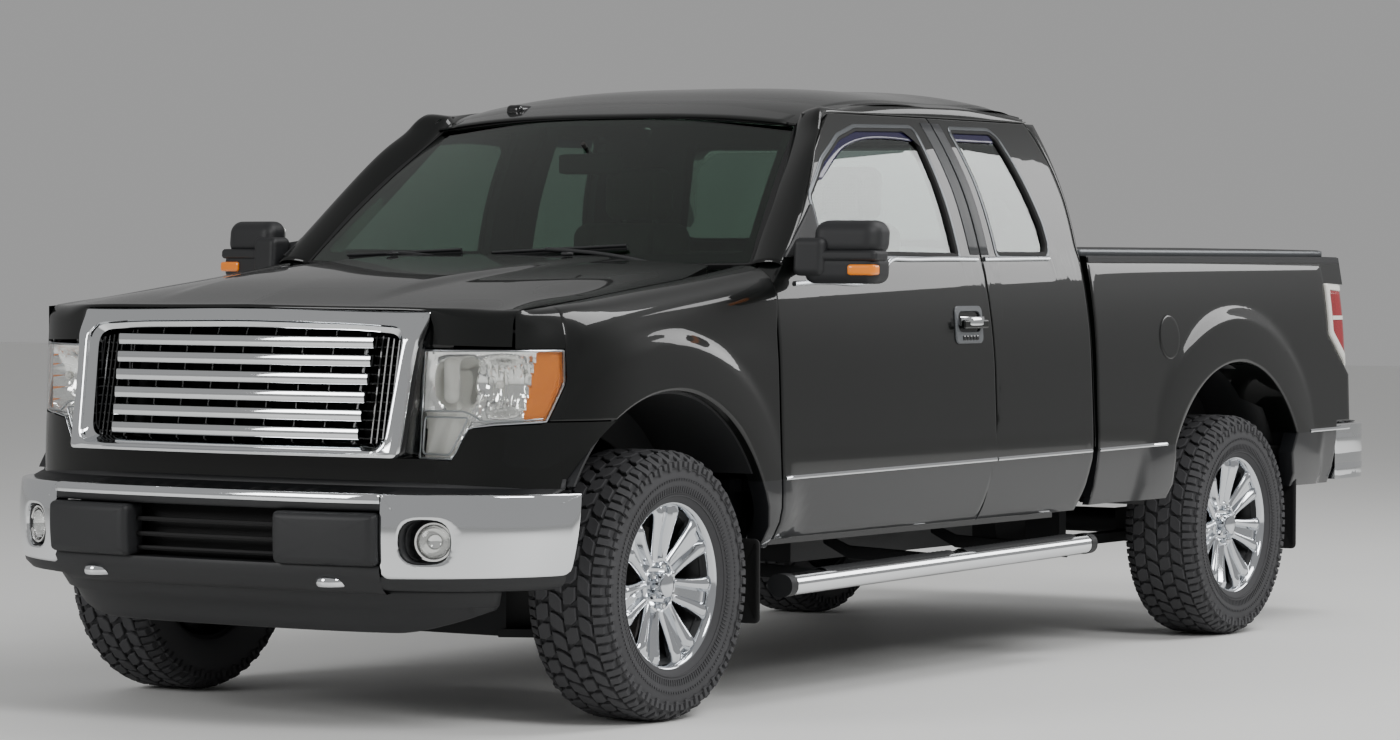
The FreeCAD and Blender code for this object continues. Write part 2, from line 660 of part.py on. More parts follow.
B_LINE = [(-200, 470), (-191, 514), (-133, 693), (-137, 1000), (-148, 1200), (-156, 1328),
          (-173, 1561), (-200, 1781), (-203, 1830)]
A_LINE = [(-730, 1830), (-905, 1740), (-1007, 1671), (-1194, 1484), (-1375, 1322), (-1447, 1266)]
REAR_LINE = [(445, 1830), (470, 1740), (492, 1640), (500, 1540), (500, 1386), (512, 1330),
             (522, 1100), (527, 800), (527, 669), (505, 580), (470, 490)]
FRONT_TAPER = -0.25
REAR_TAPER = 0.40
TAPER_OUT = 1015
TAPER_IN = 745


def tapered(points, fixed, taper, shift):
    """A solid between the centre side and the outside whose given points shift with depth."""
    wires = []
    for x in (TAPER_OUT, TAPER_IN):
        row = []
        for y, z in points:
            skin_here = skin_x(LOWER if z < mm.belt else UPPER, z)
            row.append((x, y + taper * (skin_here - x) + shift, z))
        row += [(x, y, z) for y, z in fixed]
        wires.append(Part.makePolygon([V(*p) for p in row + row[:1]]))
    return Part.makeLoft(wires, True, True)


def side_wall(y0, y1):
    """The whole side of the cab as one wall: the lower panel and the window band."""
    lower = side_slab(LOWER, y0, y1, 0, mm.door_wall)
    upper = side_slab(UPPER, y0, y1, 0, mm.frame_wall)
    return lower.fuse(upper)


def glass_pane(outline, y0, y1):
    slab = side_slab(UPPER, y0, y1, mm.glass_inset, mm.glass_inset + mm.glass_wall)
    return slab.common(side_prism(outline, 600, 1100))


FRONT_GLASS = [(-1130, 1348), (-1130, 1530), (-985, 1640), (-830, 1716), (-700, 1748),
               (-345, 1755), (-330, 1740), (-300, 1345), (-700, 1312 + 36)]
REAR_GLASS = [(-44, 1350), (-68, 1600), (-92, 1745), (-84, 1757), (170, 1759), (205, 1735),
              (300, 1450), (308, 1380), (290, 1350)]


HANDLE = (-298, 1130)


def door_handle():
    """A pull lever on two feet, in front of its round cup."""
    y, z = HANDLE
    skin_here = skin_x(LOWER, z)
    lever = soft_block(skin_here + 18, skin_here + 36, y - 78, y + 78, z - 14, z + 14, 6)
    feet = [block(skin_here - 20, skin_here + 24, y + dy - 12, y + dy + 12, z - 11, z + 11)
            for dy in (-62, 62)]
    return lever.multiFuse(feet)


def make_doors():
    wall = side_wall(mm.door_front_y - 10, mm.cab_rear_y + 10)
    front_zone = tapered(B_LINE, [(-730, 1830)] + A_LINE[1:] + [(-1447, 470)],
                         FRONT_TAPER, -mm.shut_gap / 2 - 0.5)
    rear_zone = tapered(B_LINE, REAR_LINE, REAR_TAPER, mm.shut_gap / 2 + 0.5)
    limits = block(700, 1100, -1600, 600, mm.door_bottom, mm.frame_top)
    front = wall.common(front_zone).common(limits).cut(side_prism(FRONT_GLASS, 600, 1100))
    rear = wall.common(rear_zone).common(limits).cut(side_prism(REAR_GLASS, 600, 1100))
    front = hinged(front, mm.front_hinge_y, mm.front_hinge_y - 40, mm.front_hinge_y + 20)
    rear = hinged(rear, mm.rear_hinge_y, mm.rear_hinge_y - 20, mm.rear_hinge_y + 40)
    front = front.fuse(door_handle())
    both_sides("door_front", front)
    both_sides("door_rear", rear)
    both_sides("glass_front", glass_pane(FRONT_GLASS, -1300, -200))
    both_sides("glass_rear", glass_pane(REAR_GLASS, -150, 400))
    upper_head = soft_block(1030, 1236, -1325, -1230, 1340, 1450, 24)
    lower_head = soft_block(1015, 1242, -1330, -1235, 1264, 1356, 18)
    arm = block(930, 1040, -1310, -1260, 1335, 1375)
    both_sides("mirror", join([upper_head, lower_head, arm]).cut(
        side_slab(UPPER, -1400, -1000, 0, mm.frame_wall)))


# Bed

def make_bed():
    skin = section_curve([p for p in LOWER if p[0] > 500] + [(1348, 950)], 0, mm.bed_front_y)
    start = skin.Vertexes[0].Point
    end = skin.Vertexes[-1].Point
    y = mm.bed_front_y
    inner = [(end.x, y, mm.bed_top), (mm.bed_inner_x, y, mm.bed_top), (mm.bed_inner_x, y, 835),
             (start.x - 70, y, 800), (start.x - 70, y, 540), (start.x, y, start.z)]
    wire = Part.Wire([skin] + [line(a, b) for a, b in zip(inner, inner[1:])
                               if V(*a).distanceToPoint(V(*b)) > 0.1])
    side = Part.Face(wire).extrude(V(0, bed_rear_y - y, 0))
    side = side.fuse(flare(*ARCH_REAR, 180, 690))
    side = side.cut(arch_cutter(*ARCH_REAR, REAR_LEGS, 700, 1100))
    lamp_y = bed_rear_y - 164
    lamp_zone = side_prism([(lamp_y, 1255), (bed_rear_y + 31, 1247), (bed_rear_y + 31, 915),
                            (bed_rear_y - 4, 915), (lamp_y, 1062)], 860, 1100)
    corner = block(700, 1100, bed_rear_y - 114, bed_rear_y + 131, 400, 742)
    post = block(mm.tailgate_half + mm.shut_gap, mm.bed_inner_x + 5, bed_rear_y - 99, bed_rear_y,
                 835, 1338)
    gate_bore = Part.makeCylinder(12 + mm.run_gap, 45, V(740, gate_axis_y, mm.gate_axis_z),
                                  V(1, 0, 0))
    side = side.cut(corner).fuse(post).cut(gate_bore)
    both_sides("bed_side", side.cut(lamp_zone))
    lamp = side_slab(LOWER, lamp_y, bed_rear_y + 12, 0, 90).common(lamp_zone)
    shape_node("tail_lamps", Part.Compound([lamp, mirrored(lamp)]))

    floor_end = bed_rear_y - 129
    floor = block(-mm.bed_inner_x, mm.bed_inner_x, mm.bed_front_y, floor_end,
                  mm.bed_floor_top - mm.bed_floor_wall, mm.bed_floor_top)
    front = block(-mm.bed_inner_x, mm.bed_inner_x, mm.bed_front_y, mm.bed_front_y + 50,
                  mm.bed_floor_top, mm.bed_top - 10)
    span = mm.bed_inner_x - mm.house_inner_x
    house = Part.makeCylinder(mm.house_radius, span, V(mm.house_inner_x, rear_axle_y, mm.axle_height),
                              V(1, 0, 0))
    well = Part.makeCylinder(mm.house_radius - mm.house_wall, span,
                             V(mm.house_inner_x + mm.house_wall, rear_axle_y, mm.axle_height),
                             V(1, 0, 0))
    above = block(-900, 900, rear_axle_y - 780, floor_end, mm.bed_floor_top - mm.bed_floor_wall,
                  mm.bed_top)
    house = house.common(above)
    sill_places = (mm.bed_front_y + 57, mm.bed_front_y + 397, rear_axle_y + 440, rear_axle_y + 670)
    sills = [block(-760, 760, y, y + 70, mm.bed_floor_top - 90, mm.bed_floor_top - mm.bed_floor_wall)
             for y in sill_places]
    sills += [block(s * mm.rail_x - 35, s * mm.rail_x + 35, y, y + 70,
                    mm.rail_bottom + mm.rail_height, mm.bed_floor_top - 90)
              for y in sill_places for s in (1, -1)]
    bed = join([floor, front, house, mirrored(house)] + sills).cut(well).cut(mirrored(well))
    shape_node("bed_floor", bed)

    cover = block(-905, 905, mm.bed_front_y, bed_rear_y - 50, mm.bed_top, mm.bed_top + mm.cover_wall)
    shape_node("tonneau_cover", cover)

    gate_y = gate_axis_y - 13
    gate = block(-mm.tailgate_half, mm.tailgate_half, gate_y, gate_y + mm.tailgate_wall, 858, 1338)
    pin = Part.makeCylinder(12, 36, V(mm.tailgate_half - 2, gate_axis_y, mm.gate_axis_z),
                            V(1, 0, 0))
    shape_node("tailgate", join([gate, pin, mirrored(pin)]))


REAR_BUMPER = [(x, tail_y - back) for x, back in (
    (0, 0), (500, 6), (800, 43), (925, 115), (970, 210), (986, 345), (988, 475))]


def make_rear_bumper():
    whole = [(-x, y) for x, y in reversed(REAR_BUMPER[1:])] + REAR_BUMPER
    wall = bent_wall(whole, -55, 525, 725)
    step = plan_prism([(x, tail_y - back) for x, back in (
        (-880, 345), (880, 345), (880, 155), (500, 55), (-500, 55), (-880, 155))], 690, 725)
    hole = Part.makeCylinder(14.5, 100, V(0, tail_y - 95, 650))
    arms = [block(min(s * 400, s * 460), max(s * 400, s * 460), tail_y - 260, tail_y - 45, 560, 640)
            for s in (1, -1)]
    shape_node("rear_bumper", join([wall, step] + arms).cut(hole))


# Running gear

def make_wheels():
    half = mm.tire_width / 2
    radius = mm.axle_height
    shoulder = mm.tire_shoulder
    bead = mm.rim_radius - 8
    profile = [(-half + 30, bead), (-half, bead + 50), (-half, radius - shoulder),
               (-half + shoulder, radius), (half - shoulder, radius), (half, radius - shoulder),
               (half, bead + 50), (half - 30, bead)]
    face = polygon_face([(x, 0, r) for x, r in profile])
    tire = face.revolve(V(0, 0, 0), V(1, 0, 0), 360)
    barrel = [(-108, bead), (-108, bead - 14), (-90, bead - 40), (60, bead - 40), (98, bead - 14),
              (108, bead - 6), (108, bead)]
    hollow = [(-108, bead), (108, bead), (108, bead - 12), (60, bead - 30), (40, bead - 52),
              (-90, bead - 52), (-108, bead - 30)]
    rim = polygon_face([(x, 0, r) for x, r in hollow]).revolve(V(0, 0, 0), V(1, 0, 0), 360)
    hub = Part.makeCylinder(mm.hub_radius + 30, 40, V(30, 0, 0), V(1, 0, 0))
    cap = Part.makeCylinder(mm.hub_radius - 20, 66, V(30, 0, 0), V(1, 0, 0))
    pieces = [rim, hub, cap]
    for i in range(int(mm.spoke_count)):
        for side in (-1, 1):
            spoke = block(34, 76, -15 + side * 26, 15 + side * 26, 60, bead - 34)
            spoke.rotate(V(0, 0, 0), V(1, 0, 0), 360.0 * i / mm.spoke_count)
            pieces.append(spoke)
    rim = join(pieces)
    for name, y in (("front", mm.front_axle_y), ("rear", rear_axle_y)):
        for side, sign in (("left", 1), ("right", -1)):
            for kind, shape in (("tire", tire), ("rim", rim)):
                turned = shape if sign > 0 else mirrored(shape)
                obj = shape_node("%s_%s_%s" % (kind, name, side), turned)
                obj.Placement = FreeCAD.Placement(V(sign * wheel_x, y, mm.axle_height),
                                                  FreeCAD.Rotation())


def make_axles():
    y = mm.front_axle_y
    z = mm.axle_height
    seat = 138
    upright = block(mm.kingpin_x - 25, mm.kingpin_x + 25, y - 35, y + 35, z - seat + 0.3,
                    z + seat - 0.3)
    disc = Part.makeCylinder(mm.disc_radius, 24, V(mm.kingpin_x + 35, y, z), V(1, 0, 0))
    stub = Part.makeCylinder(34, wheel_x + 29.7 - mm.kingpin_x, V(mm.kingpin_x, y, z), V(1, 0, 0))
    stud = Part.makeCylinder(mm.stud_radius, 2 * seat + 40, V(mm.kingpin_x, y, z - seat - 20))
    both_sides("knuckle", join([upright, disc, stub, stud]))
    stud_hole = Part.makeCylinder(mm.stud_radius + mm.run_gap, 2 * seat + 60,
                                  V(mm.kingpin_x, y, z - seat - 30))
    arms = []
    inner = mm.rail_x + mm.rail_width / 2
    tip = mm.kingpin_x + 5
    for low in (z - seat - 24, z + seat):
        arm = plan_prism([(inner, y - 160), (inner, y + 160), (tip - 105, y + 34), (tip, y + 26),
                          (tip, y - 26), (tip - 105, y - 34)], low, low + 24)
        arm = arm.fuse(Part.makeCylinder(mm.stud_radius + 12, 24, V(mm.kingpin_x, y, low)))
        arm = arm.cut(stud_hole)
        arms += [arm, mirrored(arm)]
    cradle = block(-inner, inner, y - 120, y + 120, z - 162, mm.rail_bottom)
    hollow = block(-inner + 40, inner - 40, y - 200, y + 200, z - 90, z + 300)
    shape_node("front_suspension", join(arms + [cradle.cut(hollow)]))
    ry = rear_axle_y
    half = [(0, 150), (60, 140), (110, 98), (150, 62), (180, mm.axle_tube_radius),
            (wheel_x - 130, mm.axle_tube_radius), (wheel_x - 130, 140), (wheel_x - 70, 140),
            (wheel_x - 70, 36), (wheel_x + 29.7, 36), (wheel_x + 29.7, 0)]
    whole = [(-x, r) for x, r in reversed(half[1:])] + half
    axle = polygon_face([(x, ry, z + r) for x, r in whole]).revolve(V(0, ry, z), V(1, 0, 0), 360)
    springs = [block(s * 560 - 32, s * 560 + 32, ry - 650, ry + 650, z - 65, z - 30)
               for s in (1, -1)]
    pads = [block(s * 560 - 40, s * 560 + 40, ry - 70, ry + 70, z - 70, z + 50) for s in (1, -1)]
    eyes = [block(min(s * 465, s * 600), max(s * 465, s * 600), ry + e * 620 - 25,
                  ry + e * 620 + 25, z - 65, mm.rail_bottom + 55) for s in (1, -1) for e in (1, -1)]
    shape_node("rear_axle", join([axle] + springs + pads + eyes))


def make_underbody():
    start = V(0, -600, 470)
    end = V(0, rear_axle_y - 150, mm.axle_height + 23)
    shaft = Part.makeCylinder(40, start.distanceToPoint(end), start, end - start)
    gearbox = block(-150, 150, -1590, -560, 430, 648)
    shape_node("driveline", join([gearbox, shaft]))
    tank = block(160, mm.rail_x - mm.rail_width / 2, -420, 780, 350, 529)
    shape_node("fuel_tank", tank)
    pipe = Part.makeCylinder(32, 2900, V(-300, -1200, 470), V(0, 1, 0))
    muffler = block(-380, -220, -100, 560, 390, mm.rail_bottom + 25)
    shape_node("exhaust", join([pipe, muffler]))
    spare = Part.makeCylinder(360, 220, V(0, rear_axle_y + 535, 440), V(0, 0, 1))
    hoist = Part.makeCylinder(15, mm.bed_floor_top - 90 - 650, V(0, rear_axle_y + 475, 650), V(0, 0, 1))
    shape_node("spare_wheel", spare.fuse(hoist))
    bar = Part.makeCylinder(40, 1935, V(985, -1430, 360), V(0, 1, 0.014))
    legs = [block(470, 985, y, y + 50, 372, 400) for y in (-1150, -350, 350)]
    hangers = [block(465, 500, y, y + 50, 372, 540) for y in (-1150, -350, 350)]
    step = join([bar] + legs + hangers)
    shape_node("step_bars", Part.Compound([step, mirrored(step)]))
    front_flap = block(872, 975, -1552, -1542, 254, 474).fuse(block(872, 930, -1552, -1542, 474, 610))
    front_flap = front_flap.fuse(block(840, 905, -1552, -1530, 560, 600))
    front_flap = front_flap.cut(nodes["fender_left"].Shape)
    rear_flap = block(740, 985, rear_axle_y + 445, rear_axle_y + 457, 283, 640)
    flaps = [front_flap, mirrored(front_flap), rear_flap, mirrored(rear_flap)]
    shape_node("mud_flaps", Part.Compound(flaps))


def make_interior():
    ring = Part.makeTorus(185, 15)
    spoke = block(-180, 180, -18, 18, -10, 10)
    boss = Part.makeCylinder(60, 40, V(0, 0, -30))
    column = Part.makeCylinder(30, 330, V(0, 0, -330))
    wheel = join([ring, spoke, boss, column])
    wheel.Placement = FreeCAD.Placement(V(400, -930, 1150), FreeCAD.Rotation(V(1, 0, 0), -62))
    dash = block(-830, 830, -1385, -1060, 960, 1195).cut(wheel)
    shape_node("dashboard", Part.Compound([dash, wheel]))
    seats = []
    for x in (-640, 180):
        cushion = soft_block(x, x + 460, -720, -190, 760, 900, 45)
        riser = block(x + 60, x + 400, -650, -260, 710, 760)
        back = soft_block(x + 10, x + 450, -225, -110, 850, 1450, 45)
        rest = soft_block(x + 110, x + 350, -205, -120, 1430, 1640, 35)
        seats.append(join([cushion, riser, back, rest]))
    shape_node("front_seats", Part.Compound(seats))
    bench = join([block(-700, 700, 20, 430, 710, 800), soft_block(-700, 700, 20, 420, 780, 900, 40),
                  soft_block(-700, 700, 300, 430, 850, 1360, 45)])
    shape_node("rear_seat", bench)


make_frame()
make_engine()
make_radiator()
make_front_end()
make_grille()
make_front_bumper()
make_windscreen()
make_cab()
make_doors()
make_bed()
make_rear_bumper()
make_wheels()
make_axles()
make_underbody()
make_interior()
doc.recompute()

problems = [o.Name for o in doc.Objects if "Invalid" in o.State or "Error" in o.State]
for name, obj in nodes.items():
    shape = obj.Shape
    if shape.isNull() or not shape.isValid() or not shape.Solids:
        problems.append(name)
if problems:
    raise RuntimeError("These objects failed: " + ", ".join(problems))

os.makedirs("parts", exist_ok=True)
for name, obj in nodes.items():
    obj.Shape.exportStep("parts/%s.step" % name)
    print("%-20s solids %2d" % (name, len(obj.Shape.Solids)))
print(len(nodes), "nodes")
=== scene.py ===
"""Looks of a full-size pickup truck with an extended cab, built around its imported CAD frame."""

import math

import bmesh
import bpy
import numpy as np
from mathutils import Matrix, Vector


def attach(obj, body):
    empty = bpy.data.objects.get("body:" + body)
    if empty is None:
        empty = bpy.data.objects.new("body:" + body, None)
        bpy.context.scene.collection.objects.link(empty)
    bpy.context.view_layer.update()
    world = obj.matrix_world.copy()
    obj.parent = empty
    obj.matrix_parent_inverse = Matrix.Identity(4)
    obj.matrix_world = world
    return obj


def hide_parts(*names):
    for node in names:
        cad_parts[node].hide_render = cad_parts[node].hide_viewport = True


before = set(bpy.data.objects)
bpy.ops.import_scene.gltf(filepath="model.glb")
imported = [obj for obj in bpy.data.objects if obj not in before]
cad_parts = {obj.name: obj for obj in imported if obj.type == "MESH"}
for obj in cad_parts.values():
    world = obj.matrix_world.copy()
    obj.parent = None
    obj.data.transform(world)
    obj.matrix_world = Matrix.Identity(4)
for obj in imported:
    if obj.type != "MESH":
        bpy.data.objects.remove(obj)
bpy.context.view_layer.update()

bl_info = {
    "name": "Pickup Truck Looks",
    "version": (1, 0, 0),
    "blender": (4, 5, 0),
    "location": "View3D > Sidebar > Truck",
    "description": "Panels, trim, glass, wheels and materials of a pickup truck",
    "category": "Object",
}

TAU = 2 * math.pi
SIDES = (("left", 1), ("right", -1))
MIDDLE = Vector((0, 0, 0.8))


# Sizes and colours that a user would change

class TruckColours(bpy.types.PropertyGroup):
    """Colours of paint, glass, cloth and floor"""
    upper: bpy.props.StringProperty(name="Upper paint", description="sRGB hex", default="#060807")
    lower: bpy.props.StringProperty(name="Lower paint", description="sRGB hex", default="#1B1C1E")
    glass: bpy.props.StringProperty(name="Glass tint", description="sRGB hex", default="#C2D0CB")
    cloth: bpy.props.StringProperty(name="Seat cloth", description="sRGB hex", default="#8C857A")
    floor: bpy.props.StringProperty(name="Floor", description="sRGB hex", default="#F2F2F0")


class TruckSizes(bpy.types.PropertyGroup):
    """Sizes and numbers of the repeated details"""
    gap: bpy.props.FloatProperty(name="Shut gap", description="Gap between panels",
                                 default=0.0055, unit="LENGTH")
    hub: bpy.props.FloatProperty(name="Hub height", description="Tyre radius",
                                 default=0.392, unit="LENGTH")
    spokes: bpy.props.IntProperty(name="Spokes", description="Split spokes per rim", default=7)
    pitches: bpy.props.IntProperty(name="Tread pitches", description="Tread blocks round a tyre",
                                   default=42)


# Numbers to curves and surfaces

def mm(*rows):
    """Rows of numbers given in millimetres, in metres."""
    return np.array(rows) / 1000


def xyz(x, y, z):
    """Points from their coordinates, each a number or an array."""
    return np.stack(np.broadcast_arrays(x, y, z), -1)


def unit(v):
    """Vectors of length one in the same directions."""
    return v / np.linalg.norm(v, axis=-1, keepdims=True)


def ways(points):
    """The way along a line of points to each of them."""
    return np.r_[0, np.cumsum(np.linalg.norm(np.diff(points, axis=0), axis=1))]


def spline(xs, ys):
    """Natural cubic spline through the points: second slopes come from one linear system."""
    xs, ys = np.asarray(xs, float), np.asarray(ys, float)
    n, h = len(xs), np.diff(xs)
    system = np.eye(n)
    right = np.zeros((n,) + ys.shape[1:])
    steps = np.diff(ys, axis=0) / h.reshape((-1,) + (1,) * (ys.ndim - 1))
    for i in range(1, n - 1):
        system[i, i - 1:i + 2] = h[i - 1], 2 * (h[i - 1] + h[i]), h[i]
        right[i] = 6 * (steps[i] - steps[i - 1])
    bends = np.linalg.solve(system, right.reshape(n, -1)).reshape(right.shape)

    def value(x):
        """The cubic of the stretch that x lies in."""
        x = np.asarray(x, float)
        i = np.clip(np.searchsorted(xs, x) - 1, 0, n - 2)
        shape = x.shape + (1,) * (ys.ndim - 1)
        a = ((xs[i + 1] - x) / h[i]).reshape(shape)
        b = ((x - xs[i]) / h[i]).reshape(shape)
        k = (h[i] ** 2 / 6).reshape(shape)
        bend = (a ** 3 - a) * bends[i] + (b ** 3 - b) * bends[i + 1]
        return a * ys[i] + b * ys[i + 1] + bend * k
    return value


def along(points, n, fine=400):
    """Points evenly spaced by length on the smooth curve through the given ones."""
    points = np.asarray(points, float)
    way = ways(points)
    curve = spline(way, points)(np.linspace(0, way[-1], fine))
    lengths = ways(curve)
    stops = np.linspace(0, lengths[-1], n)
    return np.stack([np.interp(stops, lengths, column) for column in curve.T], 1)


def trace(points, n, radius=0.0, closed=True):
    """n points on a polygon's outline that keep its corners. A corner with a radius becomes a
    quadratic curve. The points left over are shared out by length."""
    points = np.asarray(points, float)
    radius = np.broadcast_to(radius, len(points))
    steps = int(np.clip(n // len(points) - 1, 2, 7))
    outline = []
    for i, (before, here, after) in enumerate(zip(np.roll(points, 1, 0), points,
                                                  np.roll(points, -1, 0))):
        end = not closed and i in (0, len(points) - 1)
        if radius[i] <= 0 or end:
            outline.append(here[None])
            continue
        back, ahead = before - here, after - here
        lb, la = np.linalg.norm(back), np.linalg.norm(ahead)
        r = min(radius[i], lb * 0.48, la * 0.48)
        s = np.linspace(0, 1, steps)[:, None]
        a, b = here + back / lb * r, here + ahead / la * r
        outline.append((1 - s) ** 2 * a + 2 * s * (1 - s) * here + s ** 2 * b)
    outline = np.vstack(outline)
    if closed:
        outline = np.vstack([outline, outline[:1]])
    lengths = np.linalg.norm(np.diff(outline, axis=0), axis=1)
    spare = n - len(lengths) - (0 if closed else 1)
    stops = np.round(np.cumsum(lengths) / lengths.sum() * spare).astype(int)
    counts = 1 + np.diff(np.r_[0, stops])
    rows = [a + (b - a) * np.linspace(0, 1, c, endpoint=False)[:, None]
            for a, b, c in zip(outline, outline[1:], counts)]
    return np.vstack(rows if closed else rows + [outline[-1:]])


def box(a0, b0, a1, b1):
    """The corners of an upright rectangle, anticlockwise."""
    return [(a0, b0), (a1, b0), (a1, b1), (a0, b1)]


def step(x):
    """Smooth step from 0 to 1."""
    x = np.clip(x, 0, 1)
    return x * x * (3 - 2 * x)


def lookup(table, u, v):
    """Values between a table's cells, with u and v from 0 to 1 along its two axes."""
    n, m = table.shape[:2]
    a, b = np.clip(u, 0, 1) * (n - 1), np.clip(v, 0, 1) * (m - 1)
    i, j = np.minimum(a.astype(int), n - 2), np.minimum(b.astype(int), m - 2)
    a, b = a - i, b - j
    if table.ndim > 2:
        a, b = a[..., None], b[..., None]
    low = table[i, j] * (1 - b) + table[i, j + 1] * b
    high = table[i + 1, j] * (1 - b) + table[i + 1, j + 1] * b
    return low * (1 - a) + high * a


class Shape:
    """Vertices and quads gathered from grids, then put into one mesh."""

    def __init__(self):
        self.points, self.faces, self.parts, self.count = [], [], [], 0

    def grid(self, p, wrap_u=False, wrap_v=False, flip=False):
        """A surface of rows and columns: each cell between four neighbours is a face."""
        n, m = p.shape[:2]
        index = np.arange(n * m).reshape(n, m) + self.count
        if wrap_u:
            index = np.vstack([index, index[:1]])
        if wrap_v:
            index = np.hstack([index, index[:, :1]])
        quads = np.stack([index[:-1, :-1], index[:-1, 1:], index[1:, 1:], index[1:, :-1]], -1)
        quads = quads.reshape(-1, 4)
        self.faces.append(quads[:, ::-1] if flip else quads)
        self.parts.append(np.zeros(len(quads), int))
        self.points.append(p.reshape(-1, 3))
        self.count += n * m
        return self

    def fan(self, ring, flip=False):
        """Close a ring with rows that shrink to its middle, where they become one point."""
        middle = ring.mean(0)
        rows = np.stack([ring + (middle - ring) * k for k in (0, 0.5, 1)])
        return self.grid(rows, wrap_v=True, flip=flip)

    def tube(self, rings, ends=(0, -1)):
        """Rings joined one after the other, and closed at the ends named."""
        rings = np.stack(rings)
        self.grid(rings, wrap_v=True)
        for end in ends:
            self.fan(rings[end])
        return self

    def bar(self, rows, closed=True):
        """Rows that run along a bar, joined round it and closed at both ends."""
        rows = np.stack(rows)
        return self.grid(rows, wrap_u=closed).fan(rows[:, 0]).fan(rows[:, -1])

    def moved(self, shift=(0, 0, 0), mirror=False):
        """A copy that is shifted, and mirrored to the other side."""
        other = Shape()
        other.points = [p + np.asarray(shift, float) for p in self.points]
        other.faces, other.parts, other.count = list(self.faces), list(self.parts), self.count
        if mirror:
            other.points = [p * (-1, 1, 1) for p in other.points]
            other.faces = [f[:, ::-1] for f in other.faces]
        return other

    def turned(self, angle, axis, shift):
        """This shape turned about one of the main axes through the origin, then shifted."""
        turn = np.array(Matrix.Rotation(angle, 3, axis))
        self.points = [p @ turn.T + shift for p in self.points]
        return self

    def add(self, other):
        """Take over another shape's faces."""
        self.points += other.points
        self.faces += [f + self.count for f in other.faces]
        self.parts += other.parts
        self.count += other.count
        return self

    def mesh(self, name, materials, sharp=35):
        """A mesh with smooth faces, its edges above an angle kept sharp."""
        mesh = bpy.data.meshes.new(name)
        points, faces = np.vstack(self.points), np.vstack(self.faces)
        mesh.vertices.add(len(points))
        mesh.vertices.foreach_set("co", points.astype(np.float32).ravel())
        mesh.loops.add(faces.size)
        mesh.loops.foreach_set("vertex_index", faces.astype(np.int32).ravel())
        mesh.polygons.add(len(faces))
        mesh.polygons.foreach_set("loop_start", np.arange(0, faces.size, 4, dtype=np.int32))
        for material in materials:
            mesh.materials.append(material)
        mesh.polygons.foreach_set("material_index", np.concatenate(self.parts).astype(np.int32))
        mesh.update(calc_edges=True)
        whole = bmesh.new()
        whole.from_mesh(mesh)
        bmesh.ops.remove_doubles(whole, verts=whole.verts, dist=2e-5)
        bmesh.ops.dissolve_degenerate(whole, edges=whole.edges, dist=1e-6)
        bmesh.ops.recalc_face_normals(whole, faces=whole.faces)
        if any(edge.is_boundary for edge in whole.edges):
            # An open sheet faces away from the truck's middle
            away = sum(f.normal.dot(f.calc_center_median() - MIDDLE) * f.calc_area()
                       for f in whole.faces)
            if away < 0:
                bmesh.ops.reverse_faces(whole, faces=whole.faces)
        whole.to_mesh(mesh)
        whole.free()
        mesh.shade_smooth()
        mesh.set_sharp_from_angle(angle=math.radians(sharp))
        return mesh


def piece(name, shape, looks, body="root", replaces="", slot=None, wall=0.0, sharp=35):
    """A finished piece: its mesh, an inward wall and the body it rides on. Its slot argument is not
    used."""
    looks = looks.split()
    obj = bpy.data.objects.new(name, shape.mesh(name, [M[look] for look in looks], sharp))
    bpy.context.scene.collection.objects.link(obj)
    if wall:
        solid = obj.modifiers.new("wall", "SOLIDIFY")
        solid.thickness, solid.offset = wall, -1
    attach(obj, body)
    if replaces:
        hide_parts(replaces)
    return obj


def both(name, shape, looks, body="root", replaces="", **rest):
    """A left piece and its mirror image; a body or node name with % gets the side's name."""
    for side_name, sign in SIDES:
        if sign < 0:
            shape, replaces = shape.moved(mirror=True), replaces if "%" in replaces else ""
        piece("%s_%s" % (name, side_name), shape, looks, body.replace("%", side_name),
              replaces.replace("%", side_name), **rest)


def sheet(rows, **wrap):
    """A surface through rows of points."""
    return Shape().grid(np.stack(rows), **wrap)


def band(surface, a, section):
    """A strip of a surface: one row for each pair of its second number and an outward offset."""
    return sheet([surface(a, b + 0 * a, out) for b, out in section])


def sweep(path, profile, up=(0, 0, 1), closed=False):
    """A profile of (across, up) points carried along a path: across is the path's direction
    turned at right angles to up."""
    path, profile = np.asarray(path, float), np.asarray(profile, float)
    ahead = np.roll(path, -1, 0) - np.roll(path, 1, 0)
    if not closed:
        ahead[0], ahead[-1] = path[1] - path[0], path[-1] - path[-2]
    ahead = unit(ahead)
    across = unit(np.cross(ahead, np.asarray(up, float)))
    rise = np.cross(across, ahead)
    points = path[:, None] + across[:, None] * profile[:, :1] + rise[:, None] * profile[:, 1:]
    shape = Shape().grid(points, wrap_u=closed, wrap_v=True)
    return shape if closed else shape.fan(points[0], flip=True).fan(points[-1])


def oval(rx, ry, n=16, power=2.0):
    """A closed superellipse: the cosine and sine, each to the power 2 over the shape's power."""
    a = np.linspace(0, TAU, n, endpoint=False)
    c, s = np.cos(a), np.sin(a)
    return np.stack([rx * np.sign(c) * np.abs(c) ** (2 / power),
                     ry * np.sign(s) * np.abs(s) ** (2 / power)], 1)


def rod(a, b, r, n=14):
    """A round bar between two points."""
    a, b = np.asarray(a, float), np.asarray(b, float)
    up = (0, 0, 1) if abs((b - a)[2]) < 0.8 * np.linalg.norm(b - a) else (0, 1, 0)
    return sweep([a, (a + b) / 2, b], oval(r, r, n), up)


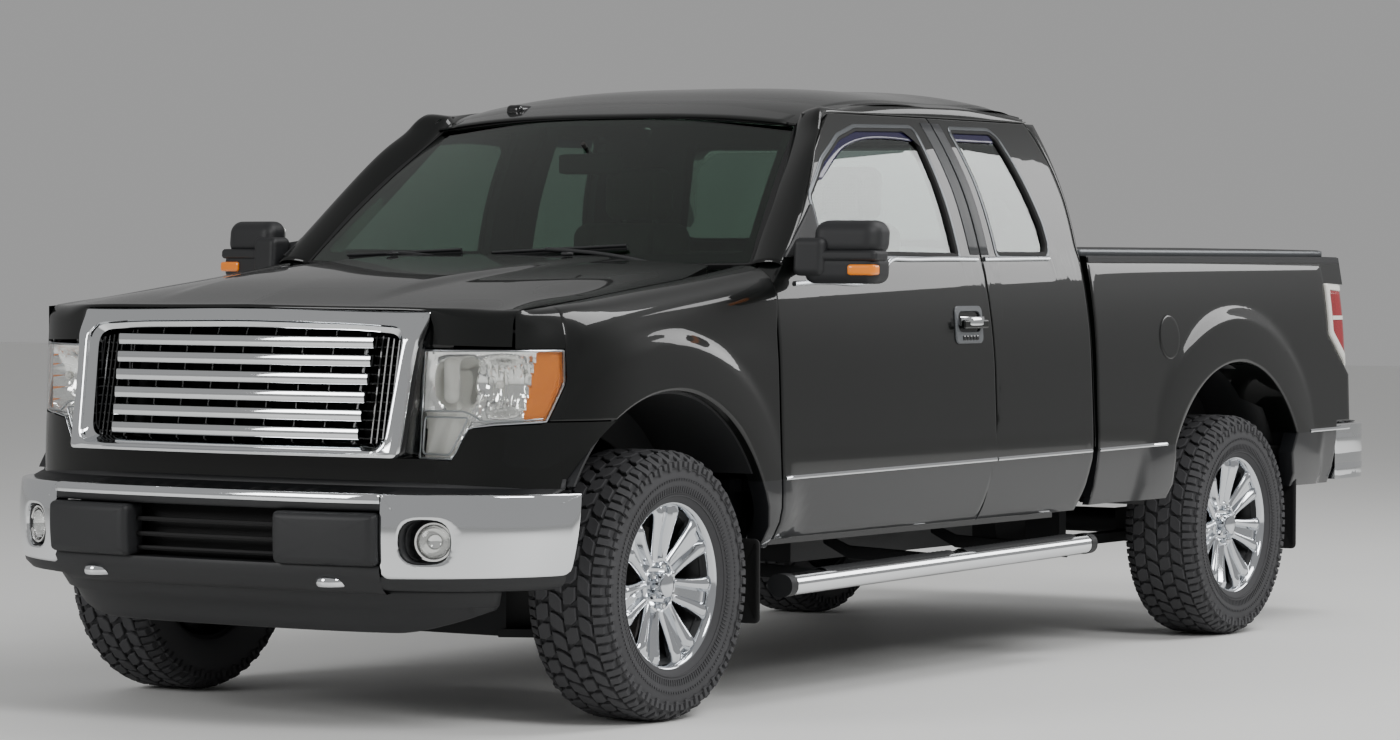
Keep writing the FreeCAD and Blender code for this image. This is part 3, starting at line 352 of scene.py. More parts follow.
def lathe(profile, n, centre=(0, 0, 0), axis=0):
    """A profile of (along, radius) points turned about an axis through a centre."""
    a = np.linspace(0, TAU, n, endpoint=False)
    rest = [k for k in range(3) if k != axis]
    points = np.zeros((len(profile), n, 3))
    points[..., axis] = profile[:, :1]
    points[..., rest[0]] = profile[:, 1:] * np.cos(a)
    points[..., rest[1]] = profile[:, 1:] * np.sin(a)
    return Shape().grid(points + np.asarray(centre, float), wrap_v=True, flip=axis != 1)


def cushion(low, high, radius, n=25):
    """A rounded block: the points of a box are pushed out from a smaller box inside it, whose
    rows and columns crowd towards the rounded edges."""
    low, high = np.asarray(low, float), np.asarray(high, float)
    u = np.linspace(-1, 1, n)
    u = np.sign(u) * np.abs(u) ** 0.75
    faces = Shape()
    half = (high - low) / 2
    for axis in range(3):
        for sign in (-1, 1):
            p = np.zeros((n, n, 3))
            p[..., axis] = sign
            p[..., (axis + 1) % 3] = u[:, None]
            p[..., (axis + 2) % 3] = u[None, :]
            inner = np.clip(p * half, -(half - radius), half - radius)
            out = p * half - inner
            length = np.linalg.norm(out, axis=-1, keepdims=True)
            block = inner + out / np.maximum(length, 1e-9) * radius
            faces.grid(block + (low + high) / 2, flip=sign < 0)
    return faces


def inward(loop, amount, closed=True):
    """A loop of (u, v) points moved towards its own left by an amount."""
    ahead = np.roll(loop, -1, 0) - np.roll(loop, 1, 0)
    if not closed:
        ahead[0], ahead[-1] = loop[1] - loop[0], loop[-1] - loop[-2]
    ahead /= np.maximum(np.linalg.norm(ahead, axis=1, keepdims=True), 1e-9)
    return loop + np.stack([-ahead[:, 1], ahead[:, 0]], 1) * amount


# Pairs of (inset, depth) by which a panel's edge turns in, and the deeper lip of a wheel opening
EDGE = mm((0, -24), (0, -3.5), (0.9, -1), (3.5, 0))
LIP = mm((0, -55), (0, -8), (1.5, -2.5), (6, 0))


def panel(surface, outer, inner=None, rows=14, edge=EDGE, inner_edge=EDGE, closed=True):
    """A pressed panel between an outline and an opening, both run anticlockwise in the surface's
    own two numbers. Its edges turn in by the pairs of (inset, depth). With no opening, the rows
    close at the outline's middle."""
    lines = [(inward(outer, inset, closed), out) for inset, out in edge]
    start, depth = lines[-1]
    shares = np.linspace(0, 1, rows)[1:]
    if inner is None:
        lines += [(start + (outer.mean(0) - start) * k, depth) for k in shares]
    else:
        end, end_depth = inward(inner, -inner_edge[-1][0], closed), inner_edge[-1][1]
        lines += [(start + (end - start) * k, depth * (1 - k) + end_depth * k) for k in shares[:-1]]
        lines += [(inward(inner, -inset, closed), out) for inset, out in inner_edge[::-1]]
    return sheet([surface(line[:, 0], line[:, 1], out) for line, out in lines], wrap_v=closed)


# The truck's own forms: the same points as the CAD source

LOWER = mm((470, 942), (540, 972), (620, 990), (700, 1000), (760, 1000), (880, 996),
           (1060, 989), (1205, 974), (1280, 962), (1330, 953))
UPPER = mm((1330, 949), (1430, 926), (1540, 893), (1640, 852), (1740, 800), (1800, 764))
side_low, side_high = spline(*LOWER.T), spline(*UPPER.T)
NOSE = mm((0, -2745), (300, -2737), (600, -2706), (760, -2664), (880, -2590), (952, -2490),
          (986, -2380), (998, -2270), (1000, -2150), (1000, -1900), (1000, -1440))
# The hood's height at each place along the truck, at the distances across from SHOULDER
STATIONS = mm(
    (-1440, 1342, 1338, 1324, 1318, 1308, 1280), (-1761, 1326, 1320, 1296, 1276, 1266, 1236),
    (-2040, 1303, 1296, 1266, 1246, 1234, 1204), (-2300, 1276, 1268, 1236, 1218, 1205, 1172),
    (-2560, 1238, 1230, 1208, 1194, 1180, 1142), (-2780, 1192, 1186, 1172, 1160, 1146, 1108))
SHOULDER = (0, 0.4, 0.7, 0.85, 0.925, 0.962)
HOOD_FRONT, HOOD_REAR = -2.78, -1.44
# Centre, opening's radius and lip's outer radius
ARCHES = {"front": (-2.045, 0.400, 0.556, 0.739), "rear": (1.620, 0.410, 0.566, 0.768)}
AXLES = (("front", -1.990), ("rear", 1.680))
WHEEL_X = 0.851
# Paint skin over the CAD form, and the two colours' join: its height and its rise rearwards
SKIN = 0.0022
JOIN_Z, JOIN_RISE = 0.690, 0.0085

_across = spline(SHOULDER, STATIONS[::-1, 1:].T)(np.linspace(0, SHOULDER[-1], 60))
TOP = spline(STATIONS[::-1, 0], _across.T)(np.linspace(HOOD_FRONT, HOOD_REAR, 80))


def hood_height(x, y):
    """The hood's height: a table of splines across the stations and along the truck."""
    return lookup(TOP, (y - HOOD_FRONT) / (HOOD_REAR - HOOD_FRONT), np.abs(x) / SHOULDER[-1])


def side(z):
    """How far the body side stands from the centre plane, and the window band above the belt."""
    low, high = side_low(np.clip(z, 0.44, 1.33)), side_high(np.clip(z, 1.33, 1.81))
    return low + (high - low) * step((z - 1.30) / 0.06)


def flare(y, z):
    """How far the wheel lips lift the side: a shelf that rises within 50 mm of the lip's outer
    radius, up to a round band 7 mm outside the body's widest point."""
    lift = np.zeros(np.broadcast(y, z).shape)
    for yc, zc, inner, outer in ARCHES.values():
        r = np.hypot(y - yc, z - zc)
        rise = step((outer - r) / 0.05)
        crown = 1.007 - 0.012 * np.clip((r - inner) / (outer - inner), 0, 1) ** 2
        lift = np.maximum(lift, rise * (crown - side(z)) * step((z - 0.50) / 0.18 + 0.3))
    return lift


def arch_line(end, start, stop, n):
    """Points on a wheel opening's edge between two angles in degrees."""
    yc, zc, radius, _ = ARCHES[end]
    a = np.radians(np.linspace(start, stop, n))
    return np.stack([yc + radius * np.cos(a), zc + radius * np.sin(a)], 1)


PATH = along(NOSE, 160)
_tangent = unit(np.gradient(PATH, axis=0))
PATH_TABLE = np.hstack([PATH, np.stack([_tangent[:, 1], -_tangent[:, 0]], 1)])


def plan(t):
    """The front end's outline in plan at a share of its length: place and outward direction."""
    shares = np.linspace(0, 1, len(PATH_TABLE))
    return np.stack([np.interp(t, shares, column) for column in PATH_TABLE.T], -1)


def at_x(x):
    """The outline's share where it reaches a distance from the centre plane."""
    return np.interp(x, PATH[:, 0], np.linspace(0, 1, len(PATH)))


def at_y(y):
    """The outline's share where it reaches a place along the truck, behind the corner."""
    return np.interp(y, PATH[:, 1], np.linspace(0, 1, len(PATH)))


def face_point(t, z, out=0.0):
    """A point of the front end's upright skin: the plan outline, moved inwards by the side's
    section where it faces sideways, and outwards by the wheel lip."""
    p = plan(t)
    turned = p[..., 2] ** 2
    inset = (1.0 - side(z)) * turned - flare(p[..., 1], z) * turned - out
    return xyz(p[..., 0] - p[..., 2] * inset, p[..., 1] - p[..., 3] * inset, z)


def side_skin(y, z, out=0.0):
    """A point of the paint on the cab's or the bed's side."""
    return xyz(side(z) + flare(y, z) + (out + SKIN), y, z)


# Materials

def linear(code, scale=1.0):
    """sRGB hex to a linear colour, made lighter or darker by a scale."""
    c = np.array([int(code[i:i + 2], 16) for i in (1, 3, 5)]) / 255
    c = np.where(c <= 0.04045, c / 12.92, ((c + 0.055) / 1.055) ** 2.4)
    return (*(min(1.0, float(v) * scale) for v in c), 1.0)


def add(tree, kind, values=None, links=None, **settings):
    """Add a node with its settings, its sockets' values and its links."""
    made = tree.nodes.new("ShaderNode" + kind)
    for name, value in settings.items():
        setattr(made, name, value)
    for name, value in (values or {}).items():
        made.inputs[name].default_value = value
    for name, source in (links or {}).items():
        tree.links.new(source, made.inputs[name])
    return made


def finish(name, colour, roughness, metallic=0.0, grain=0.0, grain_size=1.0, bump=0.0, vary=0.12,
           scuff=0.0, sockets=()):
    """A material from its colour, with fine grain as bump, a slow change of tone, and a change of
    roughness. grain_size is the grain's real size in millimetres."""
    material = bpy.data.materials.new(name)
    material.use_nodes = True
    tree = material.node_tree
    tree.nodes.clear()
    out = add(tree, "OutputMaterial")
    shader = add(tree, "BsdfPrincipled", {"Metallic": metallic, **dict(sockets)})
    tree.links.new(shader.outputs[0], out.inputs[0])
    place = {"Vector": add(tree, "TexCoord").outputs["Object"]}
    slow = add(tree, "TexNoise", {"Scale": 3.0, "Detail": 3.0}, place)
    tone = add(tree, "Mix", {6: linear(colour, 1 - vary), 7: linear(colour, 1 + vary)},
               {0: slow.outputs["Fac"]}, data_type="RGBA")
    tree.links.new(tone.outputs[2], shader.inputs["Base Color"])
    fine = add(tree, "TexNoise", {"Scale": 1000.0 / max(grain_size, 0.4) / 6, "Detail": 2.0}, place)
    rough = add(tree, "MapRange", {"To Min": max(0.0, roughness - scuff),
                                   "To Max": min(1.0, roughness + scuff)},
                {"Value": slow.outputs["Fac"]})
    tree.links.new(rough.outputs[0], shader.inputs["Roughness"])
    if bump:
        press = add(tree, "Bump", {"Strength": grain, "Distance": bump},
                    {"Height": fine.outputs["Fac"]})
        tree.links.new(press.outputs[0], shader.inputs["Normal"])
    return material


def two_tone(material, lower):
    """Grey metallic paint with mica below the moulding, which rises towards the rear, under the
    same clear coat as the black above it."""
    tree = material.node_tree
    shader = tree.nodes["Principled BSDF"]
    place = {"Vector": add(tree, "TexCoord").outputs["Object"]}
    axes = add(tree, "SeparateXYZ", links=place).outputs
    slope = add(tree, "Math", {1: -JOIN_RISE}, {0: axes["Y"]}, operation="MULTIPLY").outputs[0]
    height = add(tree, "Math", None, {0: axes["Z"], 1: slope}, operation="ADD").outputs[0]
    below = add(tree, "Math", {1: JOIN_Z}, {0: height}, operation="LESS_THAN").outputs[0]
    behind = add(tree, "Math", {1: -2.0}, {0: axes["Y"]}, operation="GREATER_THAN").outputs[0]
    there = add(tree, "Math", None, {0: below, 1: behind}, operation="MULTIPLY").outputs[0]
    flakes = add(tree, "TexVoronoi", {"Scale": 900.0}, place)
    glint = add(tree, "Mix", {6: linear(lower), 7: linear(lower, 1.5)},
                {0: flakes.outputs["Distance"]}, data_type="RGBA")
    first = shader.inputs["Base Color"].links[0].from_socket
    colour = add(tree, "Mix", None, {0: there, 6: first, 7: glint.outputs[2]}, data_type="RGBA")
    tree.links.new(colour.outputs[2], shader.inputs["Base Color"])
    metal = add(tree, "Math", {1: 0.4}, {0: there}, operation="MULTIPLY")
    tree.links.new(metal.outputs[0], shader.inputs["Metallic"])


def woven(material, thread=1.6):
    """Woven seat cloth: two crossed waves, one thread apart, press the surface."""
    tree = material.node_tree
    place = {"Vector": add(tree, "TexCoord").outputs["Object"]}
    waves = [add(tree, "TexWave", {"Scale": 1000 / thread / 20, "Distortion": 0.6}, place,
                 bands_direction=axis).outputs["Fac"] for axis in ("X", "Z")]
    weave = add(tree, "Math", None, {0: waves[0], 1: waves[1]}, operation="MULTIPLY")
    press = add(tree, "Bump", {"Strength": 0.35, "Distance": 0.001}, {"Height": weave.outputs[0]})
    tree.links.new(press.outputs[0], tree.nodes["Principled BSDF"].inputs["Normal"])


CLEAR = {"IOR": 1.5, "Transmission Weight": 1.0}
# Name, usual slot, colour as sRGB hex or as a property's name, roughness, metal, grain's strength,
# its size in mm, its height in m, change of tone, change of roughness, other sockets
MATERIALS = {
    # Sprayed two-layer paint: deep gloss with sharp reflections
    "paint": ("clear_coated_paint", "body_paint", "upper", 0.4, 0, 0, 1, 0, 0.2, 0,
              {"Coat Weight": 0.75, "Coat Roughness": 0.015, "Specular IOR Level": 0.1}),
    # Nickel-chrome plate: near mirror, faint waviness of the pressed steel under it
    "chrome": ("chrome_plate", "bright_trim", "#E6E8EA", 0.05, 1, 0.02, 40, 0.0006, 0.02, 0.02),
    # Satin aluminium strip: soft, wide reflections
    "satin": ("anodised_aluminium", "bright_trim", "#B9BCBF", 0.28, 1, 0, 1, 0, 0.04, 0.05),
    # Moulded ABS: with a leather-like grain, polished, or painted a plain grey
    "black": ("grained_abs", "black_plastic", "#1A1B1D", 0.55, 0, 0.4, 1.6, 0.0006, 0.15, 0.08),
    "gloss_black": ("gloss_abs", "black_plastic", "#08090A", 0.18, 0, 0, 1, 0, 0.1, 0,
                    {"Coat Weight": 0.5}),
    "grey_cover": ("painted_abs", "black_plastic", "#55585B", 0.42, 0, 0.1, 1, 0.0003, 0.06),
    # Dark anodised frame strip, and the moulded covers between the doors: both a soft sheen
    "dark_satin": ("dark_anodised_aluminium", "bright_trim", "#5E6164", 0.3, 0.8, 0, 1, 0, 0.04),
    "pillar_cover": ("satin_abs", "black_plastic", "#26282B", 0.42, 0, 0.1, 1, 0.0003, 0.06),
    # EPDM rubber seal: dull
    "seal": ("epdm_rubber", "black_plastic", "#0C0C0D", 0.75, 0, 0.2, 2, 0.0004),
    # Tempered glass, cast acrylic of the rain visors, laminated glass and lamp lenses: all polished
    # and clear through, faintly grey, violet, green and untinted
    "glass": ("tempered_glass", "window_glass", "glass", 0, 0, 0, 1, 0, 0.03, 0, CLEAR),
    "visor": ("tinted_acrylic", "window_glass", "#3A3566", 0.05, 0, 0, 1, 0, 0, 0,
              {"IOR": 1.49, "Transmission Weight": 0.7}),
    "screen": ("laminated_glass", "window_glass", "#6F8A7A", 0, 0, 0, 1, 0, 0.03, 0, CLEAR),
    "lens": ("clear_polycarbonate", "lamp_clear", "#FCFDFD", 0, 0, 0, 1, 0, 0, 0,
             {"IOR": 1.40, "Transmission Weight": 1.0}),
    # Lamps: mirror-like bowl, and amber, red and ribbed white acrylic with a wet shine
    "bowl": ("vacuum_aluminised", "lamp_clear", "#FAFAF8", 0.09, 0.85, 0, 1, 0, 0.02, 0.02),
    "amber": ("amber_acrylic", "lamp_red", "#FF8A12", 0.3, 0, 0, 1, 0, 0.06, 0,
              {"IOR": 1.49, "Coat Weight": 0.6}),
    "red": ("red_acrylic", "lamp_red", "#A30D18", 0.12, 0, 0, 1, 0, 0.1, 0,
            {"IOR": 1.49, "Transmission Weight": 0.25, "Coat Weight": 0.7}),
    "white_lens": ("ribbed_acrylic", "lamp_clear", "#F0EFE8", 0.12, 0, 0.5, 12, 0.001, 0.04, 0,
                   {"Coat Weight": 0.6}),
    # Vulcanised tyre rubber: dull black with a dusty bloom
    "tyre": ("tyre_rubber", "tire_rubber", "#3D3D3F", 0.82, 0, 0.35, 3, 0.0007, 0.3, 0.1),
    # Chrome-clad rims: a mirror; waxed frame: black and blotchy; castings: rough, dull grey; pipes:
    # pale and scuffed
    "rim": ("chrome_clad_alloy", "wheel_metal", "#D9DCE0", 0.09, 1, 0, 1, 0, 0.04, 0.04),
    "dark_metal": ("waxed_steel", "frame_coat", "#17181A", 0.6, 0.3, 0.4, 5, 0.001, 0.35, 0.12),
    "cast": ("cast_iron", "frame_coat", "#4A4744", 0.62, 0.7, 0.7, 4, 0.0015, 0.3, 0.1),
    "steel": ("aluminised_steel", "steel_tube", "#8B8985", 0.38, 1, 0.2, 8, 0.0008, 0.25, 0.12),
    # Coated fabric with a low sheen, hard and soft grained trim, and matt woven cloth
    "vinyl": ("coated_polyester", "cover_cloth", "#131416", 0.48, 0, 0.5, 1.2, 0.0005, 0.15, 0.06),
    "cabin": ("grained_polypropylene", "cabin_plastic", "#5C5852", 0.6, 0, 0.3, 1.5, 0.0005, 0.08),
    "cabin_dark": ("soft_touch_trim", "cabin_plastic", "#2A2927", 0.62, 0, 0.3, 1.5, 0.0005, 0.1),
    "cloth": ("woven_cloth", "seat_cloth", "cloth", 0.9, 0, 0, 1, 0, 0.2, 0, {"Sheen Weight": 0.25}),
}
M = {}


def make_materials(colours):
    """Fill M with the table's materials, in the user's colours."""
    for key, (name, _, colour, *rest) in MATERIALS.items():
        M[key] = finish(name, colour if colour[0] == "#" else getattr(colours, colour), *rest)
    two_tone(M["paint"], colours.lower)
    woven(M["cloth"])


# Operators: each makes one group of pieces

class TruckOperator:
    """What the operators share"""
    bl_options = {"REGISTER", "UNDO"}

    @property
    def sizes(self):
        return bpy.context.scene.truck_sizes


class MakeStage(TruckOperator, bpy.types.Operator):
    """Camera, floor, backdrop and soft studio light"""
    bl_idname = "truck.make_stage"
    bl_label = "Stage"

    # The photo's camera: its turns, place and focal length in pixels, for the photo's width
    YAW, PITCH, ROLL = 0.5736574, -0.024218, 0.0037376
    PLACE = (7.96535, -12.64981, 1.33094)
    FOCAL, WIDTH, CENTRE = 4430.22, 1400, (-5.462, -2.51)

    def execute(self, context):
        scene = context.scene
        data = bpy.data.cameras.new("camera")
        camera = bpy.data.objects.new("camera", data)
        scene.collection.objects.link(camera)
        ahead = Vector((-math.sin(self.YAW) * math.cos(self.PITCH),
                        math.cos(self.YAW) * math.cos(self.PITCH), math.sin(self.PITCH)))
        right = Vector((math.cos(self.YAW), math.sin(self.YAW), 0))
        up = right.cross(ahead)
        right, up = (right * math.cos(self.ROLL) + up * math.sin(self.ROLL),
                     up * math.cos(self.ROLL) - right * math.sin(self.ROLL))
        turn = Matrix((right, up, -ahead)).transposed().to_4x4()
        camera.matrix_world = Matrix.Translation(self.PLACE) @ turn
        data.sensor_width = 36.0
        data.lens = self.FOCAL * data.sensor_width / self.WIDTH
        data.shift_x, data.shift_y = (c / self.WIDTH for c in self.CENTRE)
        data.clip_end = 200
        scene.camera = camera

        u = np.linspace(-40, 40, 9)
        floor = Shape().grid(xyz(u[:, None], u[None], 0.0), flip=True)
        ground = bpy.data.objects.new("floor", floor.mesh("floor", [
            finish("painted_concrete", scene.truck_colours.floor, 0.55, vary=0.01)]))
        scene.collection.objects.link(ground)
        world = bpy.data.worlds.new("studio")
        world.use_nodes = True
        sky = world.node_tree.nodes["Background"].inputs
        sky["Color"].default_value = (1, 1, 1, 1)
        sky["Strength"].default_value = 0.36
        scene.world = world
        for name, place, power in (("key", (9, -5, 8), 700), ("fill", (-4, -11, 5), 420),
                                   ("top", (4, 3, 8), 380), ("back", (6, 10, 5), 260)):
            light = bpy.data.lights.new(name, "AREA")
            light.energy, light.size = power, 4
            lamp = bpy.data.objects.new(name, light)
            lamp.location = place
            lamp.rotation_euler = (MIDDLE - Vector(place)).to_track_quat("-Z", "Y").to_euler()
            scene.collection.objects.link(lamp)
        return {"FINISHED"}


CAD_FINISH = {
    "dark_metal": "frame crossmembers front_suspension rear_axle engine radiator",
    "cast": "driveline knuckle_left knuckle_right",
    "steel": "exhaust",
    "black": "arch_liners bed_floor bumper_trim wipers mirror_left mirror_right fuel_tank mud_flaps",
    "chrome": "grille_surround grille_bars front_bumper tow_hooks rear_bumper step_bars",
    "lens": "headlamps fog_lamps",
    "red": "tail_lamps",
    "screen": "windshield",
    "glass": "rear_window glass_front_left glass_front_right glass_rear_left glass_rear_right",
    "tyre": "spare_wheel tire_front_left tire_front_right tire_rear_left tire_rear_right",
    "rim": "rim_front_left rim_front_right rim_rear_left rim_rear_right",
    "cabin": "dashboard",
    "cloth": "front_seats rear_seat",
    "vinyl": "tonneau_cover",
}


class FinishFrame(TruckOperator, bpy.types.Operator):
    """Materials for the CAD nodes that stay in view"""
    bl_idname = "truck.finish_frame"
    bl_label = "CAD materials"

    def execute(self, context):
        make_materials(context.scene.truck_colours)
        kinds = {node: kind for kind, nodes in CAD_FINISH.items() for node in nodes.split()}
        for name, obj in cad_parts.items():
            obj.data.materials.clear()
            obj.data.materials.append(M[kinds.get(name, "paint")])
        return {"FINISHED"}


# Body panels. The lines of doors and windows are (along the truck, height)

B_LINE = mm((-197, 498), (-191, 514), (-133, 693), (-137, 1000), (-148, 1200), (-156, 1328),
            (-173, 1561), (-200, 1781), (-203, 1792))
A_LINE = mm((-812, 1792), (-905, 1740), (-1007, 1671), (-1194, 1484), (-1375, 1322), (-1447, 1266))
C_LINE = mm((470, 498), (505, 580), (527, 669), (527, 800), (522, 1100), (512, 1330), (500, 1386),
            (500, 1540), (492, 1640), (470, 1740), (452, 1792))
FRONT_GLASS = mm((-700, 1348), (-300, 1345), (-330, 1740), (-345, 1755), (-700, 1748),
                 (-830, 1716), (-985, 1640), (-1130, 1530), (-1130, 1348))
REAR_GLASS = mm((150, 1350), (290, 1350), (308, 1380), (300, 1450), (205, 1735), (170, 1759),
                (-84, 1757), (-92, 1745), (-68, 1600), (-44, 1350))
# Upper and lower lines of the rain visors in the tops of the window channels
VISORS = (("front", mm((-1055, 1580), (-985, 1630), (-826, 1708), (-700, 1739), (-342, 1742)),
           mm((-1020, 1580), (-950, 1617), (-805, 1684), (-690, 1709), (-348, 1713))),
          ("rear", mm((-84, 1748), (40, 1749), (168, 1749)),
           mm((-80, 1720), (45, 1720), (180, 1720))))
# Bright belt strips, with their step at the front
STRIPS = (("front", mm((-1330, 1262), (-1100, 1266), (-860, 1274), (-815, 1290), (-770, 1316),
                       (-735, 1334), (-680, 1338), (-450, 1338.5), (-186, 1338))),
          ("rear", mm((-140, 1338), (150, 1341), (300, 1342))))


def bead(name, body, looks, y, z, section):
    """A strip along the side with a closed section of (height, outward) points."""
    both(name, Shape().bar([side_skin(y, z + dz, out) for dz, out in section]), looks, body)


def moulding(name, body, y0, y1):
    """A bright bead whose height rises towards the rear like the colour's edge."""
    y = np.linspace(y0, y1, 50)
    bead("moulding_" + name, body, "chrome", y, JOIN_Z + JOIN_RISE * (y + 0.4),
         mm((-6.2, -1), (-5.2, 3), (-1, 5.2), (3, 4.6), (6.2, 1.5), (6.6, -1)))


class MakeDoors(TruckOperator, bpy.types.Operator):
    """Door skins with rounded hems, window seals, belt strips and pillar covers"""
    bl_idname = "truck.make_doors"
    bl_label = "Doors"

    def execute(self, context):
        half = self.sizes.gap / 2
        front = [(-0.70, 0.498), *(B_LINE - (half, 0)), *A_LINE, (-1.447, 0.498)]
        rear = [(0.15, 0.498), *C_LINE, *(B_LINE + (half, 0))[::-1]]
        for name, outline, glass in (("front", front, FRONT_GLASS), ("rear", rear, REAR_GLASS)):
            door = "door_%s_%%" % name
            outer, inner = trace(outline, 220, 0.006), trace(glass, 220, 0.014)
            both("door_%s_skin" % name,
                 panel(side_skin, outer, inner, 26, mm((0, -13), (0, -3), (0.9, -0.8), (3.5, 0)),
                       mm((0, -20), (0, -4), (1, -1), (4, 0))), "paint", door)
            both("window_seal_" + name,
                 panel(side_skin, inward(inner, -0.0015), inward(inner, 0.012), 3,
                       mm((0, -18), (0, -1), (2, 1.5)), mm((0, -20), (0, -6), (3, -1))), "seal", door)
            both("window_trim_" + name,
                 panel(side_skin, inward(inner, -0.0125), inward(inner, -0.001), 3,
                       mm((0, -1), (0, 1.6), (1, 2.6)), mm((0, -4), (0, 1.6), (1, 2.6))),
                 "dark_satin", door)
            pane = trace(glass, 120, 0.014)
            both("glass_%s_pane" % name,
                 panel(side_skin, pane, None, 12, mm((0, -17.5), (0.5, -11.5))), "glass", door,
                 "glass_%s_%%" % name, wall=0.005)
        for name, upper, lower in VISORS:
            upper, lower = along(upper, 40), along(lower, 40)
            k = np.linspace(0, 1, 6)[None]
            line = lower[:, None] + (upper - lower)[:, None] * k[..., None]
            bow = -0.0065 + 0.0006 * np.sin(np.pi * k)
            both("window_visor_" + name, Shape().grid(side_skin(line[..., 0], line[..., 1], bow)),
                 "visor", "door_%s_%%" % name, wall=0.002)
        for name, line in STRIPS:
            bead("belt_strip_" + name, "door_%s_%%" % name, "satin", *along(line, 60).T,
                 mm((-7.5, 0), (-7, 4.5), (-3, 7.2), (3, 7.2), (7, 4.5), (7.5, -3)))
        moulding("front", "door_front_%", -1.432, -0.139)
        moulding("rear", "door_rear_%", -0.130, 0.516)
        # Pillar covers on both sides of the joint between the doors
        for name, offset, width in (("front", -0.004, -0.062), ("rear", 0.004, 0.052)):
            z = np.linspace(1.352, 1.776, 16)
            edge_y = np.interp(z, B_LINE[:, 1], B_LINE[:, 0])
            rows = [side_skin(edge_y + offset + width * k, z,
                              0.0028 * np.sin(np.pi * min(max(k * 1.15, 0.06), 0.94)) ** 0.3)
                    for k in (0, 0.06, 0.2, 0.5, 0.8, 0.94, 1)]
            both("pillar_cover_" + name, sheet(rows), "pillar_cover", "door_%s_%%" % name, wall=0.003)
        self.handles()
        self.mirrors()
        return {"FINISHED"}

    def handles(self):
        """Bezel with a cup, chrome lever and a plain keypad."""
        yc, zc = -0.298, 1.130
        bezel = trace(mm((-92, -62), (82, -62), (86, 58), (-86, 58)) + (yc, zc), 64, 0.022)
        cup = trace(mm((-74, -24), (68, -24), (70, 40), (-70, 40)) + (yc, zc), 64, 0.024)
        shape = panel(side_skin, bezel, cup, 5, mm((0, -4), (0, 3), (3, 6)),
                      mm((0, -2), (0, 4), (2, 6)))
        shape.add(panel(side_skin, cup, None, 6, mm((0, -2), (4, -2.5))))
        both("handle_bezel", shape, "grey_cover", "door_front_%")
        y = np.linspace(yc - 0.078, yc + 0.074, 25)
        bow = 0.030 - 0.016 * np.abs(np.linspace(-1, 1, 25)) ** 3
        rings = np.stack([side_skin(y, zc + 0.010 + 0.0145 * v, bow + 0.006 * u)
                          for u, v in oval(1.0, 1.0, 14, 3)], 1)
        both("handle_lever", Shape().tube(rings), "chrome", "door_front_%")
        keys = Shape()
        for i in range(5):
            y0 = yc - 0.052 + i * 0.021
            key = trace(box(y0, zc - 0.052, y0 + 0.017, zc - 0.036), 16, 0.004)
            keys.add(panel(side_skin, key, None, 3, mm((0, 4), (0, 7.2), (1.2, 8))))
        both("keypad", keys, "gloss_black", "door_front_%")

    def mirrors(self):
        """Towing mirror: two rounded heads in one shell, glass behind, a marker lamp in front."""
        def lean_back(shape, lean, shift=0.0):
            """Sheared rearwards with height and with distance from the door."""
            for p in shape.points:
                p[:, 1] += (p[:, 2] - 1.35) * lean + (p[:, 0] - 1.13) * 0.18 + shift
            return shape
        head = Shape()
        for low, high, radius, lean in (
                ((1.030, -1.330, 1.343), (1.238, -1.222, 1.452), 0.040, 0.10),
                ((1.012, -1.338, 1.262), (1.242, -1.232, 1.350), 0.030, 0.05),
                ((1.004, -1.343, 1.330), (1.246, -1.262, 1.362), 0.012, 0.08),
                ((0.985, -1.350, 1.285), (1.085, -1.255, 1.400), 0.020, 0.05)):
            head.add(lean_back(cushion(low, high, radius, 21), lean))
        both("mirror_head", head, "black", "door_front_%", "mirror_%")
        arm = sweep(mm((925, -1262, 1352), (975, -1268, 1345), (1050, -1272, 1335)),
                    oval(0.030, 0.042, 18, 3))
        sail = trace(mm((-1366, 1340), (-1140, 1350), (-1140, 1508), (-1180, 1478)), 60, 0.012)
        arm.add(panel(side_skin, sail, None, 6, mm((0, -12), (0, 4), (4, 8))))
        both("mirror_arm", arm, "black", "door_front_%")
        marker = cushion((1.158, -1.3475, 1.288), (1.2445, -1.310, 1.320), 0.008, 9)
        both("mirror_marker", lean_back(marker, 0.0, -0.0015), "amber", "door_front_%")
        glass = Shape()
        for corners in (box(1.05, 1.362, 1.222, 1.436), box(1.035, 1.278, 1.225, 1.334)):
            x, z = trace(corners, 40, 0.02).T
            glass.fan(xyz(x, -1.2205 + (z - 1.35) * 0.08 + (x - 1.13) * 0.18, z))
        both("mirror_glass", glass, "bowl", "door_front_%", slot="window_glass", wall=0.002)


